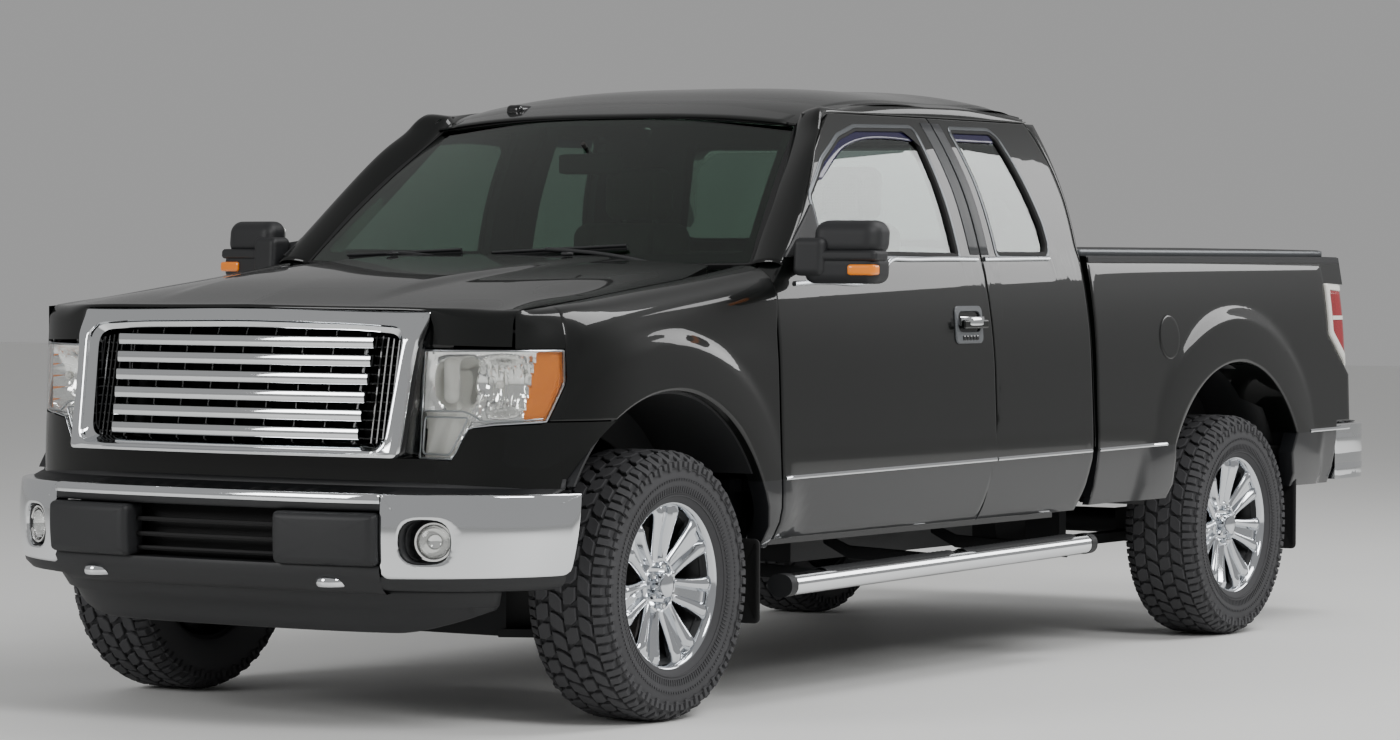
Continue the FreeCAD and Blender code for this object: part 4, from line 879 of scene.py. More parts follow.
class MakeBed(TruckOperator, bpy.types.Operator):
    """Bed side skins with wheel lips, rail caps, cover, tail lamps, tailgate and fuel door"""
    bl_idname = "truck.make_bed"
    bl_label = "Bed"

    def execute(self, context):
        arch = np.vstack([mm((1118, 512), (1122, 560), (1130, 650)), arch_line("rear", 150, 32, 90),
                          mm((2056, 640), (2085, 560), (2100, 512.5))])
        outline = mm((565.5, 512), (565.5, 1328), (2405, 1328), (2405, 1062), (2565.5, 915),
                     (2565.5, 742), (2456, 742), (2456, 512.5))
        outer = trace(outline, len(arch), (0,) + (0.006,) * 6 + (0,), closed=False)
        both("bed_skin", panel(side_skin, outer[::-1], arch[::-1], 44, inner_edge=LIP, closed=False),
             "paint")
        y = np.linspace(0.568, 2.556, 60)
        cap = Shape().bar([xyz(x, y, z) for x, z in
                           mm((953.5, 1325), (956.5, 1330), (955.5, 1344), (948, 1350.5), (900, 1352),
                              (840, 1351), (832, 1346), (832, 1325))])
        both("rail_cap", cap, "black")
        moulding("bed_front", "root", 0.570, 1.058)
        moulding("bed_rear", "root", 2.216, 2.560)
        ring = oval(0.076, 0.076, 60) + (1.105, 1.071)
        piece("fuel_door", panel(side_skin, ring, None, 8, mm((0, -1), (0, 1), (1.5, 2.2), (4, 2.8))),
              "paint")
        # Painted shade: a flat dark ring on the skin stands for the shade in the fuel door's shut gap
        groove = panel(side_skin, inward(ring, -0.0035), inward(ring, 0.0005), 3, mm((0, 0.4)),
                       mm((0, 0.4)))
        piece("fuel_door_gap", groove, "seal")
        self.tail_lamps()
        self.cover()
        self.tailgate()
        return {"FINISHED"}

    def tail_lamps(self):
        """Red lens wrapped round the corner in a pale housing with a clear reversing lens."""
        def skin(y, z, out):
            """The bed side's skin, turned inwards at the rear corner by a smooth step."""
            corner = step((y - 2.50) / 0.09)
            x = side(z) + out * (1 - corner) - corner * corner * 0.055 + 0.003
            return xyz(x, y + out * corner, z)
        outer = trace(mm((2406.5, 1063.5), (2566, 918), (2578, 930), (2590, 1100), (2584, 1246),
                         (2406.5, 1254)), 96, 0.010)
        inner = trace(mm((2428, 1078), (2552, 965), (2560, 975), (2571, 1100), (2566, 1222),
                         (2428, 1230)), 96, 0.010)
        rim = panel(skin, outer, inner, 4, mm((0, -30), (0, 4), (4, 9)), mm((0, 0), (0, 6), (3, 9)))
        both("tail_lamp_frame", rim, "white_lens", "root", "tail_lamps")
        both("tail_lamp_lens", panel(skin, inner, None, 10, mm((0, -20), (0, 2), (4, 5))), "red")
        both("tail_lamp_band", band(skin, np.linspace(2.430, 2.562, 14),
                                    mm((1118, 4), (1119, 7.5), (1133, 7.5), (1134, 4))), "white_lens")

    def cover(self):
        """Coated cloth stretched over the bed on a rail: a low crown with a turned edge."""
        u, v = np.linspace(-1, 1, 61)[:, None], np.linspace(-1, 1, 81)[None]
        u, v = (np.sign(w) * np.abs(w) ** 0.6 for w in (u, v))
        crown = (1 - u ** 4) * (1 - v ** 8) * 0.006
        ribs = 0.0016 * np.cos(v * 0.977 * TAU / 0.42) * (1 - u ** 6)
        z = 1.3765 + crown + ribs - 0.004 * (np.abs(u) > 0.999)
        cover = piece("bed_cover", Shape().grid(xyz(u * 0.905, 1.541 + v * 0.977, z)), "vinyl",
                      replaces="tonneau_cover", wall=0.004)
        loop = trace(box(-0.905, 0.564, 0.905, 2.518), 120, 0.03)
        rail = sweep(xyz(*loop.T, 1.361), oval(0.010, 0.0125, 12, 4), closed=True)
        piece("cover_rail", rail, "dark_satin", slot="black_plastic")

    def tailgate(self):
        """Tailgate's outer skin with its handle."""
        def back(x, z, out):
            """A low crown across, with a rolled top edge and a tucked-in lower one."""
            fall = 0.020 * step((z - 1.26) / 0.07) + 0.012 * step((0.92 - z) / 0.05)
            return xyz(x, 2.5545 + 0.006 * np.cos(2 * x) - fall + out, z)
        outer = trace(box(-0.742, 0.860, 0.742, 1.336), 160, 0.014)
        inner = trace(box(-0.10, 1.10, 0.10, 1.17), 160, 0.012)
        skin = panel(back, outer, inner, 26, inner_edge=mm((0, -30), (0, -4), (3, 0)))
        piece("tailgate_skin", skin, "paint", "tailgate")
        cup = panel(back, inner, None, 4, mm((0, -28), (4, -28)))
        grip = trace(box(-0.085, 1.125, 0.085, 1.162), 60, 0.008)
        cup.add(panel(back, grip, None, 4, mm((0, -20), (0, -4), (4, 2))))
        piece("tailgate_handle", cup, "black", "tailgate")


# Front end: a table of section points for each place along the plan outline

SEAM_X = 0.852
SEAM_DEPTH = 0.147
T_SEAM = float(at_x(SEAM_X))


def seam_depth(t):
    """How far inwards from the outline the hood's side seam lies, at most 147 mm."""
    p = plan(t)
    reach = (p[..., 0] - SEAM_X - 0.001) / np.maximum(np.abs(p[..., 2]), 0.05)
    return np.clip(reach, 0.0, SEAM_DEPTH)


def build_shoulder(n_t=120, n_s=50):
    """Rows over the outline's share, columns over the section: inward offset and height. The
    section runs up the body side and bends over the shoulder to the hood's seam."""
    table = []
    for share in np.linspace(T_SEAM, 1.0, n_t):
        y = plan(share)[1]
        high = [(o, float(hood_height(x, y))) for o, x in
                ((0.038, 0.962), (0.075, 0.925), (SEAM_DEPTH, 0.85))]
        low = [(1 - side(z), z) for z in (1.0, 1.06, 1.11) if z < high[0][1] - 0.045]
        scale = float(seam_depth(share)) / SEAM_DEPTH
        table.append(along([(o * scale, z) for o, z in low + high], n_s))
    return np.stack(table)


SHOULDER_TABLE = build_shoulder()


def shoulder(t, v):
    """The shoulder's inward offset and height."""
    return np.moveaxis(lookup(SHOULDER_TABLE, (t - T_SEAM) / (1 - T_SEAM), v), -1, 0)


def way_to(t, z):
    """The section's way s at which the shoulder is as high as z."""
    shares = np.linspace(0, 1, 60)
    heights = shoulder(t[:, None], shares)[1]
    return np.array([1.0 + 0.4 * np.interp(z, row, shares) for row in heights])


def fender_point(t, s, out=0.0):
    """The fender's skin. s is the height up to 1.0, and from there to 1.4 the way over the
    shoulder to the hood's seam."""
    low = face_point(t, np.minimum(s, 1.0))
    o, z = shoulder(t, np.clip((s - 1.0) / 0.4, 0, 1))
    p = plan(t)
    o = o - flare(p[..., 1], z) * p[..., 2] ** 2
    # The plan outline and its outward direction stand two columns apart
    x, y = (np.where(s > 1.0, p[..., k] - p[..., k + 2] * o, low[..., k]) for k in (0, 1))
    tilt = np.clip((s - 1.15) / 0.25, 0, 1) * 1.25
    flat = np.cos(tilt) * out
    z = np.where(s > 1.0, z, s) + np.sin(tilt) * out
    return xyz(x + p[..., 2] * flat, y + p[..., 3] * flat, z)


class MakeHood(TruckOperator, bpy.types.Operator):
    """Hood with its dome, rolled front edge and seams"""
    bl_idname = "truck.make_hood"
    bl_label = "Hood"

    def execute(self, context):
        u = np.linspace(-1, 1, 121)
        x = 0.8465 * np.sign(u) * np.abs(u) ** 0.92
        ax = np.abs(x)
        rear = np.interp(ax, [0, 0.5, 0.762, 0.8465], [-1.548, -1.515, -1.481, -1.757])
        radius = 0.008 + 0.042 * step((ax - 0.60) / 0.16)
        front = np.interp(ax, PATH[:, 0], PATH[:, 1]) + radius
        rows = [self.top(x, rear + (front - rear) * v) for v in np.linspace(0, 1, 70)]
        # The front edge rolls down, then runs on to the top of the grille's surround
        a = np.linspace(0, math.pi / 2, 9)[1:, None]
        rows += list(xyz(x, front - radius * np.sin(a), rows[-1][:, 2] - radius * (1 - np.cos(a))))
        base = rows[-1]
        end = np.interp(ax, (0, 0.40, 0.625, 0.650, 0.85), (1.1945, 1.191, 1.188, 1.092, 1.088))
        fall = np.minimum(end, base[:, 2] - 0.001) - base[:, 2]
        rows += [xyz(x, base[:, 1] - 0.004 * k, base[:, 2] + fall * k) for k in (0.33, 0.66, 1.0)]
        points = np.stack(rows)
        shape = Shape().grid(points)
        # Turned-down rims at the seams
        for edge, turn in ((points[:, 0], (0.002, 0, -0.022)), (points[-1], (0, 0.022, 0.001)),
                           (points[:, -1], (-0.002, 0, -0.022)), (points[0], (0, 0.002, -0.022))):
            shape.grid(np.stack([edge, edge + turn]))
        piece("hood_skin", shape, "paint", "hood", "hood", sharp=50)
        lining = Shape().grid(points[4:-10:3, 3:-3:3] + (0, 0, -0.03))
        piece("hood_lining", lining, "cabin_dark", "hood", slot="black_plastic", wall=0.012)
        nozzles = Shape()
        for sign in (-1, 1):
            corner = np.array([sign * 0.33 - 0.014, -1.625, 1.342])
            nozzles.add(cushion(corner, corner + (0.028, 0.036, 0.012), 0.006, 7))
        piece("washer_nozzles", nozzles, "black", "hood")
        return {"FINISHED"}

    @staticmethod
    def top(x, y):
        """Height with the dome: 9 mm higher between two creases that narrow towards the nose."""
        ax = np.abs(x)
        crease = 0.47 - 0.05 * np.clip((-1.5 - y) / 1.2, 0, 1)
        dome = 0.009 * step((crease - ax) / 0.075) * step((y + 2.72) / 0.35)
        return xyz(x, y, hood_height(ax, y) + dome)


class MakeFenders(TruckOperator, bpy.types.Operator):
    """Fenders with wheel lips, the body-coloured apron and the headlamps"""
    bl_idname = "truck.make_fenders"
    bl_label = "Fenders and lamps"

    LOW_CORNER, LAMP_CORNER = -2.3255, -2.4985

    def execute(self, context):
        arch = np.vstack([arch_line("front", 120.2, 25.5, 80),
                          mm((-1528, 600), (-1505, 540), (-1490, 472.5))])
        outline = [(self.LOW_CORNER, 0.881), (-2.547, 0.881), (-2.496, 0.99),
                   (self.LAMP_CORNER, 1.083), (self.LAMP_CORNER, 1.40), (-1.4525, 1.40),
                   (-1.4525, 0.4725)]
        outer = trace(outline, len(arch), (0, 0.006, 0.02, 0, 0, 0, 0), closed=False)

        # The hem beside the door is shallow, so that the door's front edge swings past it
        def skin(y, s, out):
            """The fender's surface by its distance along the truck."""
            hem = (y > -1.470) & (out < -0.002)
            return fender_point(at_y(y - 0.003 * hem), s, np.where(hem, -0.004, out))
        body = panel(skin, outer[::-1], arch[::-1], 46, mm((0, -24), (0, -3), (0.9, -0.8), (3.5, 0)),
                     LIP, closed=False)
        # Its tip over the lamp, as far as the hood's seam
        t = np.linspace(T_SEAM, float(at_y(self.LAMP_CORNER)), 26)
        low = way_to(t, 1.083)
        s = low[:, None] + (1.40 - low[:, None]) * np.linspace(0, 1, 20)[None]
        body.grid(fender_point(t[:, None], s))
        body.grid(np.stack([fender_point(t, low), fender_point(t, low, -0.025)]))
        both("fender_skin", body, "paint", "root", "fender_%")
        # Fixed panel seen in the slit between grille and hood corner
        slit = face_point(at_x(np.linspace(0.585, 0.690, 8))[None],
                          np.linspace(1.074, 1.176, 6)[:, None], -0.009)
        both("nose_filler", Shape().grid(slit), "paint", wall=0.002)
        self.apron()
        self.lamps()
        return {"FINISHED"}

    def apron(self):
        """The panel under lamps and grille, from wheel opening to wheel opening."""
        yc, zc, radius, _ = ARCHES["front"]
        t0, t1 = float(at_x(0.597)), float(at_x(0.735))
        t = np.concatenate([np.linspace(0, t0, 16)[:-1], np.linspace(t0, t1, 9)[:-1],
                            np.linspace(t1, float(at_y(self.LOW_CORNER)), 44)])
        x, y = plan(t)[:, :2].T
        top = np.interp(x, [0, 0.597, 0.690, 0.732, 0.80, 1.0],
                        [0.7735, 0.7735, 0.768, 0.857, 0.866, 0.8775])
        top = np.where(y > -2.56, np.maximum(top, 0.8775), top)
        circle = zc + np.sqrt(np.maximum(radius ** 2 - (y - yc) ** 2, 0))
        low = np.where((y > yc - radius) & (circle > 0.690), np.minimum(circle, top - 0.001), 0.690)
        points = face_point(t, low + (top - low) * np.linspace(0, 1, 12)[:, None])
        turned = np.concatenate([face_point(t, top, -0.022)[None], points[::-1],
                                 face_point(t, low, -0.030)[None]])
        mirror = turned[:, :0:-1] * (-1, 1, 1)
        piece("apron", Shape().grid(np.concatenate([mirror, turned], 1)), "paint",
              replaces="nose_panel", sharp=45)

    def lamps(self):
        """Clear lenses, and behind them the housings with their bowls, bulbs and bright frames."""
        u, v = np.linspace(0, 1, 60)[None], np.linspace(0, 1, 30)[:, None]
        x0 = 0.590
        t0, t_low, t_out = float(at_x(x0)), float(at_y(-2.552)), float(at_y(-2.5015))

        def place(u, z, out):
            """A share u from the slanted inner edge to the lamp's outer end, at a height."""
            shift = (z - 0.776) / 0.303 * 0.016
            return face_point(t0 + (t_out - t0) * u + (at_x(x0 + shift) - t0) * (1 - u), z, out)

        def spot(u, v, out):
            """Shares across and up, between the lamp's lower and upper lines."""
            t = t0 + (t_out - t0) * u
            low = np.interp(plan(t)[..., 0], [0, 0.690, 0.734, 0.80, 0.93, 1.0],
                            [0.778, 0.773, 0.862, 0.871, 0.880, 0.89])
            low = low + 0.106 * np.clip((t - t_low) / (t_out - t_low), 0, 1)
            return place(u, low + (1.078 - low) * v, out)
        zero = np.zeros((1, 1))
        rows = [spot(u, zero, -0.02), spot(u, zero, -0.003), spot(u, 0.015 + 0.97 * v, 0.0015),
                spot(u, zero + 1, -0.003), spot(u, zero + 1, -0.02)]
        both("headlamp_lens", Shape().grid(np.concatenate(rows)), "lens", "root", "headlamps",
             wall=0.0025)

        # Housing behind the lens: chrome bowls, amber corner, low ribbed lamp and a divider
        face = spot(u, v, -0.012)
        x, z = face[..., 0], face[..., 2]
        big = np.hypot((x - 0.690) / 0.080, (z - 0.990) / 0.090)
        small = np.hypot((x - 0.812) / 0.075, (z - 0.980) / 0.095)
        depth = 0.022 + sum(0.060 * (1 - np.clip(bowl, 0, 1) ** 2) for bowl in (big, small))
        ribs = 0.0045 * np.cos((x + (z - 0.98) ** 2) * TAU / 0.017) * (big > 1.0)
        border = np.minimum(np.minimum(u, 1 - u) * 8, np.minimum(v, 1 - v) * 5)
        depth = (depth + ribs) * step(border) + 0.002
        park = (z < 0.900) & (x < 0.716 + (z - 0.86) * 0.45)
        amber = x > 0.873 + (z - 0.98) * 0.144
        depth = np.where(park, 0.014 + 0.002 * np.cos(x * TAU / 0.008), depth)
        depth = np.where(amber, 0.004 + 0.001 * np.cos(z * TAU / 0.012), depth)
        back = Shape().grid(spot(u, v, -0.012 - depth))
        back.parts[-1] = np.where(amber, 1, np.where(park, 2, 0))[:-1, :-1].ravel()
        both("headlamp_bowl", back, "bowl amber white_lens")
        bulbs = Shape()
        for x, z, r, tall in ((0.668, 0.992, 0.022, 3.0), (0.812, 0.982, 0.013, 1.0)):
            p = face_point(at_x(x), np.array(z), -0.050)
            half = np.array([r, r, r * tall])
            bulbs.add(cushion(p - half, p + half, r * 0.999, 13))
        both("headlamp_bulbs", bulbs, "white_lens")
        # Bright frames: over the low lamp and on along the big one's lower edge, and round both
        frames = Shape()
        brow = mm((15, 908), (300, 908), (365, 897), (430, 880), (700, 883), (840, 888))
        low_lamp = mm((20, 788), (215, 786), (335, 890), (25, 892))
        for line, closed in ((brow, False), (low_lamp, True)):
            path = trace(line, 70, 0.02, closed=closed)
            frames.add(sweep(place(*path.T, -0.0075), oval(0.0035, 0.0028, 8), closed=closed))
        rim = trace(box(0.004, 0.006, 0.996, 0.994), 160, 0.02)
        frames.add(sweep(spot(*rim.T, -0.004), oval(0.0032, 0.0032, 8), closed=True))
        both("headlamp_frames", frames, "satin")
        # Dark rear wall of the housing closes the view behind the bowl
        both("headlamp_wall", Shape().grid(spot(u[:, ::6], v[::5], -0.135)), "black", wall=0.004)


def mirrored(rights):
    """An outline from its right-hand points, which run up to the middle, and their mirror images:
    anticlockwise from the lower left corner."""
    lefts = rights[::-1] * (-1, 1)
    return np.vstack([lefts[-1:], rights, lefts[1:-1]])


class MakeGrille(TruckOperator, bpy.types.Operator):
    """Bright surround, six billet bars, black fins and straps"""
    bl_idname = "truck.make_grille"
    bl_label = "Grille"

    @staticmethod
    def plane(x, z, out):
        """The grille stands proud of the nose, leans back, bows forwards in its middle and rolls
        back to the hood along its top."""
        proud = 0.018 + 0.034 * (1 - step((z - 1.10) / 0.09))
        y = -2.778 + 0.1887 * (z - 0.7) - 0.045 * (1 - (x / 0.62) ** 2) - proud
        return xyz(x, y - out, z)

    def execute(self, context):
        plane = self.plane
        round_low, round_top = (0.04, 0.04, 0.050), (0.1, 0.1, 0.1, 0.050)
        outer = trace(mirrored(mm((594, 776), (606, 1050), (630, 1188.5), (400, 1191), (0, 1194.5))),
                      240, (0.02, 0.02, 0.1, 0.012, 0.1, 0.1, 0.1, 0.012, 0.1))
        middle, inner = (trace(mirrored(mm(*rights)), 240, round_low + round_top) for rights in
                         (((548, 800), (572, 1138), (400, 1148), (0, 1154)),
                          ((531, 816), (554, 1121), (400, 1131), (0, 1137))))
        ring = panel(plane, outer, middle, 6, mm((0, -16), (0, -10), (3, -2), (10, 2)),
                     mm((0, -4), (4, 3), (10, 5)))
        ring.grid(np.stack([plane(*inward(middle, k).T, out) for k, out in mm((0, -4), (2, -12))] +
                           [plane(*inner.T, out) for out in (-0.030, -0.085)]), wrap_v=True)
        piece("grille_ring", ring, "chrome", replaces="grille_surround")
        flank = sheet([plane(*inward(outer, 0.002).T, out) for out in (-0.008, -0.050, -0.125)],
                      wrap_v=True)
        piece("grille_flank", flank, "gloss_black", wall=0.002)

        bars = Shape()
        a, b = oval(0.0165, 0.0165, 14, 5).T
        for i in range(6):
            z = 1.098 - i * 0.051
            half = 0.462 - (1.098 - z) * 0.06
            centre = plane(np.linspace(-half, half, 41), z, -0.040)
            bars.tube(centre[:, None] + xyz(0, a, b + a * 0.1))
        piece("billet_bars", bars, "chrome", replaces="grille_bars")

        straps = Shape()
        for sign in (-1, 1):
            z = np.linspace(0.818, 1.122, 24)
            centre = plane(sign * (0.430 - (1.098 - z) * 0.06), z, -0.058)
            straps.tube(centre[:, None] + xyz(*oval(0.006, 0.012, 10).T, 0))
        piece("grille_straps", straps, "gloss_black")

        fins = Shape()
        for x in np.r_[-0.546:-0.46:0.0182, -0.42:0.43:0.105, 0.4732:0.547:0.0182]:
            top = float(np.interp(abs(x), [0, 0.40, 0.553], [1.137, 1.128, 1.100]))
            centre = plane(x, np.linspace(0.812, top, 8), -0.070)
            section = np.array(box(-0.0022, -0.018, 0.0022, 0.018))
            fins.tube(centre[:, None] + xyz(*section.T, 0), ends=())
        for z in np.arange(0.829, 1.13, 0.0255):
            half = float(np.interp(z, [0.8, 1.10, 1.139], [0.53, 0.553, 0.30]))
            centre = plane(np.linspace(-half, half, 31), z, -0.068)
            section = np.array(box(-0.012, -0.002, 0.012, 0.002))
            fins.tube(centre[:, None] + xyz(0, *section.T), ends=())
        piece("grille_fins", fins, "gloss_black")
        back = plane(np.linspace(-0.60, 0.60, 13)[:, None], np.linspace(0.78, 1.18, 5)[None], -0.125)
        piece("grille_back", Shape().grid(back), "seal", wall=0.003)
        return {"FINISHED"}


BUMPER_PATH = along(mm((0, -2945), (300, -2936), (580, -2893), (780, -2800), (900, -2690),
                       (972, -2570), (996, -2480)), 200)
BUMPER_WAY = ways(BUMPER_PATH)


def bumper_point(w, z, out=0.0):
    """A point at a way along the bumper's plan curve from its middle, and a height. The face has
    a slight crown."""
    a = np.abs(w)
    x, y = (np.interp(a, BUMPER_WAY, column) for column in BUMPER_PATH.T)
    i = np.clip(np.searchsorted(BUMPER_WAY, a), 1, len(BUMPER_WAY) - 1)
    d = unit(BUMPER_PATH[i] - BUMPER_PATH[i - 1])
    o = out - 0.01225 * ((z - 0.575) / 0.13) ** 2
    return xyz(np.sign(w) * (x + d[..., 1] * o), y - d[..., 0] * o, z)


def way_at(x):
    """The way along the bumper's face to a distance from the middle."""
    return float(np.interp(x, BUMPER_PATH[:, 0], BUMPER_WAY))


class MakeBumper(TruckOperator, bpy.types.Operator):
    """Chrome bumper with black pads, centre opening with slats, fog lamps, air dam, tow hooks"""
    bl_idname = "truck.make_bumper"
    bl_label = "Front bumper"

    def execute(self, context):
        # Ways of the opening's end, of the bumper's end, of a pad's inner end and of the fog lamp
        w0, w1, w_pad, fog = way_at(0.588), float(BUMPER_WAY[-1]), way_at(0.262), way_at(0.712)
        outer = trace([(w0, 0.446), (w1 - 0.040, 0.452), (w1, 0.682), (w0, 0.682), (w0, 0.6685),
                       (w0, 0.655)], 180, (0.03, 0.03, 0.008, 0, 0, 0))
        hole = trace(box(fog - 0.078, 0.490, fog + 0.070, 0.612), 180, 0.060)
        end = panel(bumper_point, outer, hole, 16, mm((0, -45), (0, -8), (2, -2), (7, 0)),
                    mm((0, -50), (0, -8), (2, -2), (6, 0)))
        face = band(bumper_point, np.linspace(-w0, w0, 70),
                    mm((682, -45), (682, -8), (680, -2), (675, 0), (668, 0), (662, 0), (657, -2),
                       (655, -8), (655, -45)))
        face.add(end).add(end.moved(mirror=True))
        piece("bumper_face", face, "chrome", replaces="front_bumper", wall=0.002, sharp=45)

        pad = trace(box(w_pad, 0.482, way_at(0.586), 0.630), 120, 0.018)
        pads = panel(bumper_point, pad, None, 10, mm((0, -50), (0, 6), (2, 14), (7, 21), (16, 26)))
        pads.add(pads.moved(mirror=True))
        # Shelf under the pads, the bumper's lower ends, and the top of the centre opening
        w = np.linspace(-w0, w0, 60)
        pads.add(band(bumper_point, w, mm((484, -60), (482, -2), (470, 4), (440, -4), (415, -20),
                                          (400, -45), (400, -100))))
        for sign in (-1, 1):
            pads.add(band(bumper_point, np.linspace(w0 - 0.01, w1 - 0.055, 40) * sign,
                          mm((462, -30), (452, -4), (436, -6), (418, -20), (410, -60), (412, -130))))
        pads.add(band(bumper_point, w, mm((656, -50), (655, -6), (640, -6), (634, -12), (634, -70))))
        piece("bumper_pads", pads, "black", replaces="bumper_trim", sharp=50)

        slats = Shape()
        w = np.linspace(-w_pad, w_pad, 30)
        blade = mm((-6, -55), (-6, -28), (0, -24), (6, -28), (6, -55))
        for z in (0.505, 0.545, 0.588):
            slats.grid(np.stack([bumper_point(w, z + dz, out) for dz, out in blade]), wrap_u=True)
        back = mm((400, -85), (520, -85), (660, -85))
        slats.add(band(bumper_point, np.linspace(-w0, w0, 40), back))
        piece("bumper_slats", slats, "seal", wall=0.002)

        # Air dam: two steps under the bumper, drawn in towards its ends
        def dam(w, z, out):
            """The bumper's face set back, further with depth, and a little narrower."""
            fall = np.clip((0.400 - z) / 0.12, 0, 1)
            return bumper_point(w, z, out - 0.055 - 0.03 * fall) * (0.925, 1, 1) + (0, 0.02, 0)
        w = np.linspace(-way_at(0.92), way_at(0.92), 80)
        low = 0.283 + 0.075 * np.clip((np.abs(w) - way_at(0.62)) / 0.40, 0, 1) ** 1.5
        rows = [dam(w, z, out) for z, out in
                ((0.412, 0.01), (0.398, 0.012), (0.365, 0.008), (0.358, -0.006), (low + 0.03, -0.012),
                 (low + 0.004, -0.008), (low, -0.014), (low, -0.03))]
        piece("air_dam", sheet(rows), "black", wall=0.004, sharp=50)

        # Black cover between the bumper's top and the apron, with cooling slots
        x = np.linspace(-0.955, 0.955, 121)
        ahead = np.interp(np.abs(x), *BUMPER_PATH.T)
        behind = face_point(at_x(np.minimum(np.abs(x), 0.94)), 0.71, -0.012)[:, 1]
        slot = 0.006 * (np.cos(x * TAU / 0.066) > -0.35) * (np.abs(x) < 0.56)
        rows = [xyz(x, ahead + (behind - ahead) * k, z - cut * slot) for k, z, cut in
                ((0.16, 0.668, 0), (0.20, 0.677, 0), (0.42, 0.681, 0), (0.46, 0.681, 1),
                 (0.66, 0.686, 1), (0.70, 0.688, 0), (0.92, 0.694, 0), (0.96, 0.72, 0))]
        piece("bumper_top_cover", sheet(rows), "black", wall=0.003, sharp=50)
        self.fog_lamps(fog, hole)
        hook = mm((400, -2720, 440), (385, -2830, 436), (388, -2895, 434), (420, -2918, 434),
                  (452, -2895, 434), (455, -2830, 436), (440, -2720, 440))
        both("tow_hook_loop", sweep(along(hook, 30), oval(0.013, 0.0145, 12, 3)), "chrome", "root",
             "tow_hooks")
        return {"FINISHED"}

    def fog_lamps(self, fog, hole):
        """Round lamps turned with the bumper's face, and the wells from its holes to them."""
        w, z, angle = fog + 0.006, 0.551, 0.42
        place = bumper_point(np.array(w), z) + (0, 0.030, 0)
        bowl = lathe(mm((45, 0), (40, 20), (20, 38), (0, 46), (-6, 49), (-6, 54), (20, 56), (50, 56)),
                     40, axis=1)
        both("fog_lamp_bowl", bowl.turned(angle, "Z", place), "bowl", "root", "fog_lamps")
        lens = lathe(mm((-12, 0), (-11, 20), (-6, 38), (2, 46)), 40, axis=1)
        both("fog_lamp_lens", lens.turned(angle, "Z", place), "lens", wall=0.002)
        ring = inward(hole, 0.0015)
        back = oval(0.056, 0.056, len(ring)) + (w, z)
        back = np.roll(back, -np.argmin(np.linalg.norm(back - ring[0], axis=1)), 0)
        well = sheet([bumper_point(*(ring * (1 - k) + back * k).T, out) for k, out in
                      ((0, -0.012), (0.3, -0.045), (1, -0.055))], wrap_v=True)
        both("fog_lamp_well", well, "black", wall=0.002)


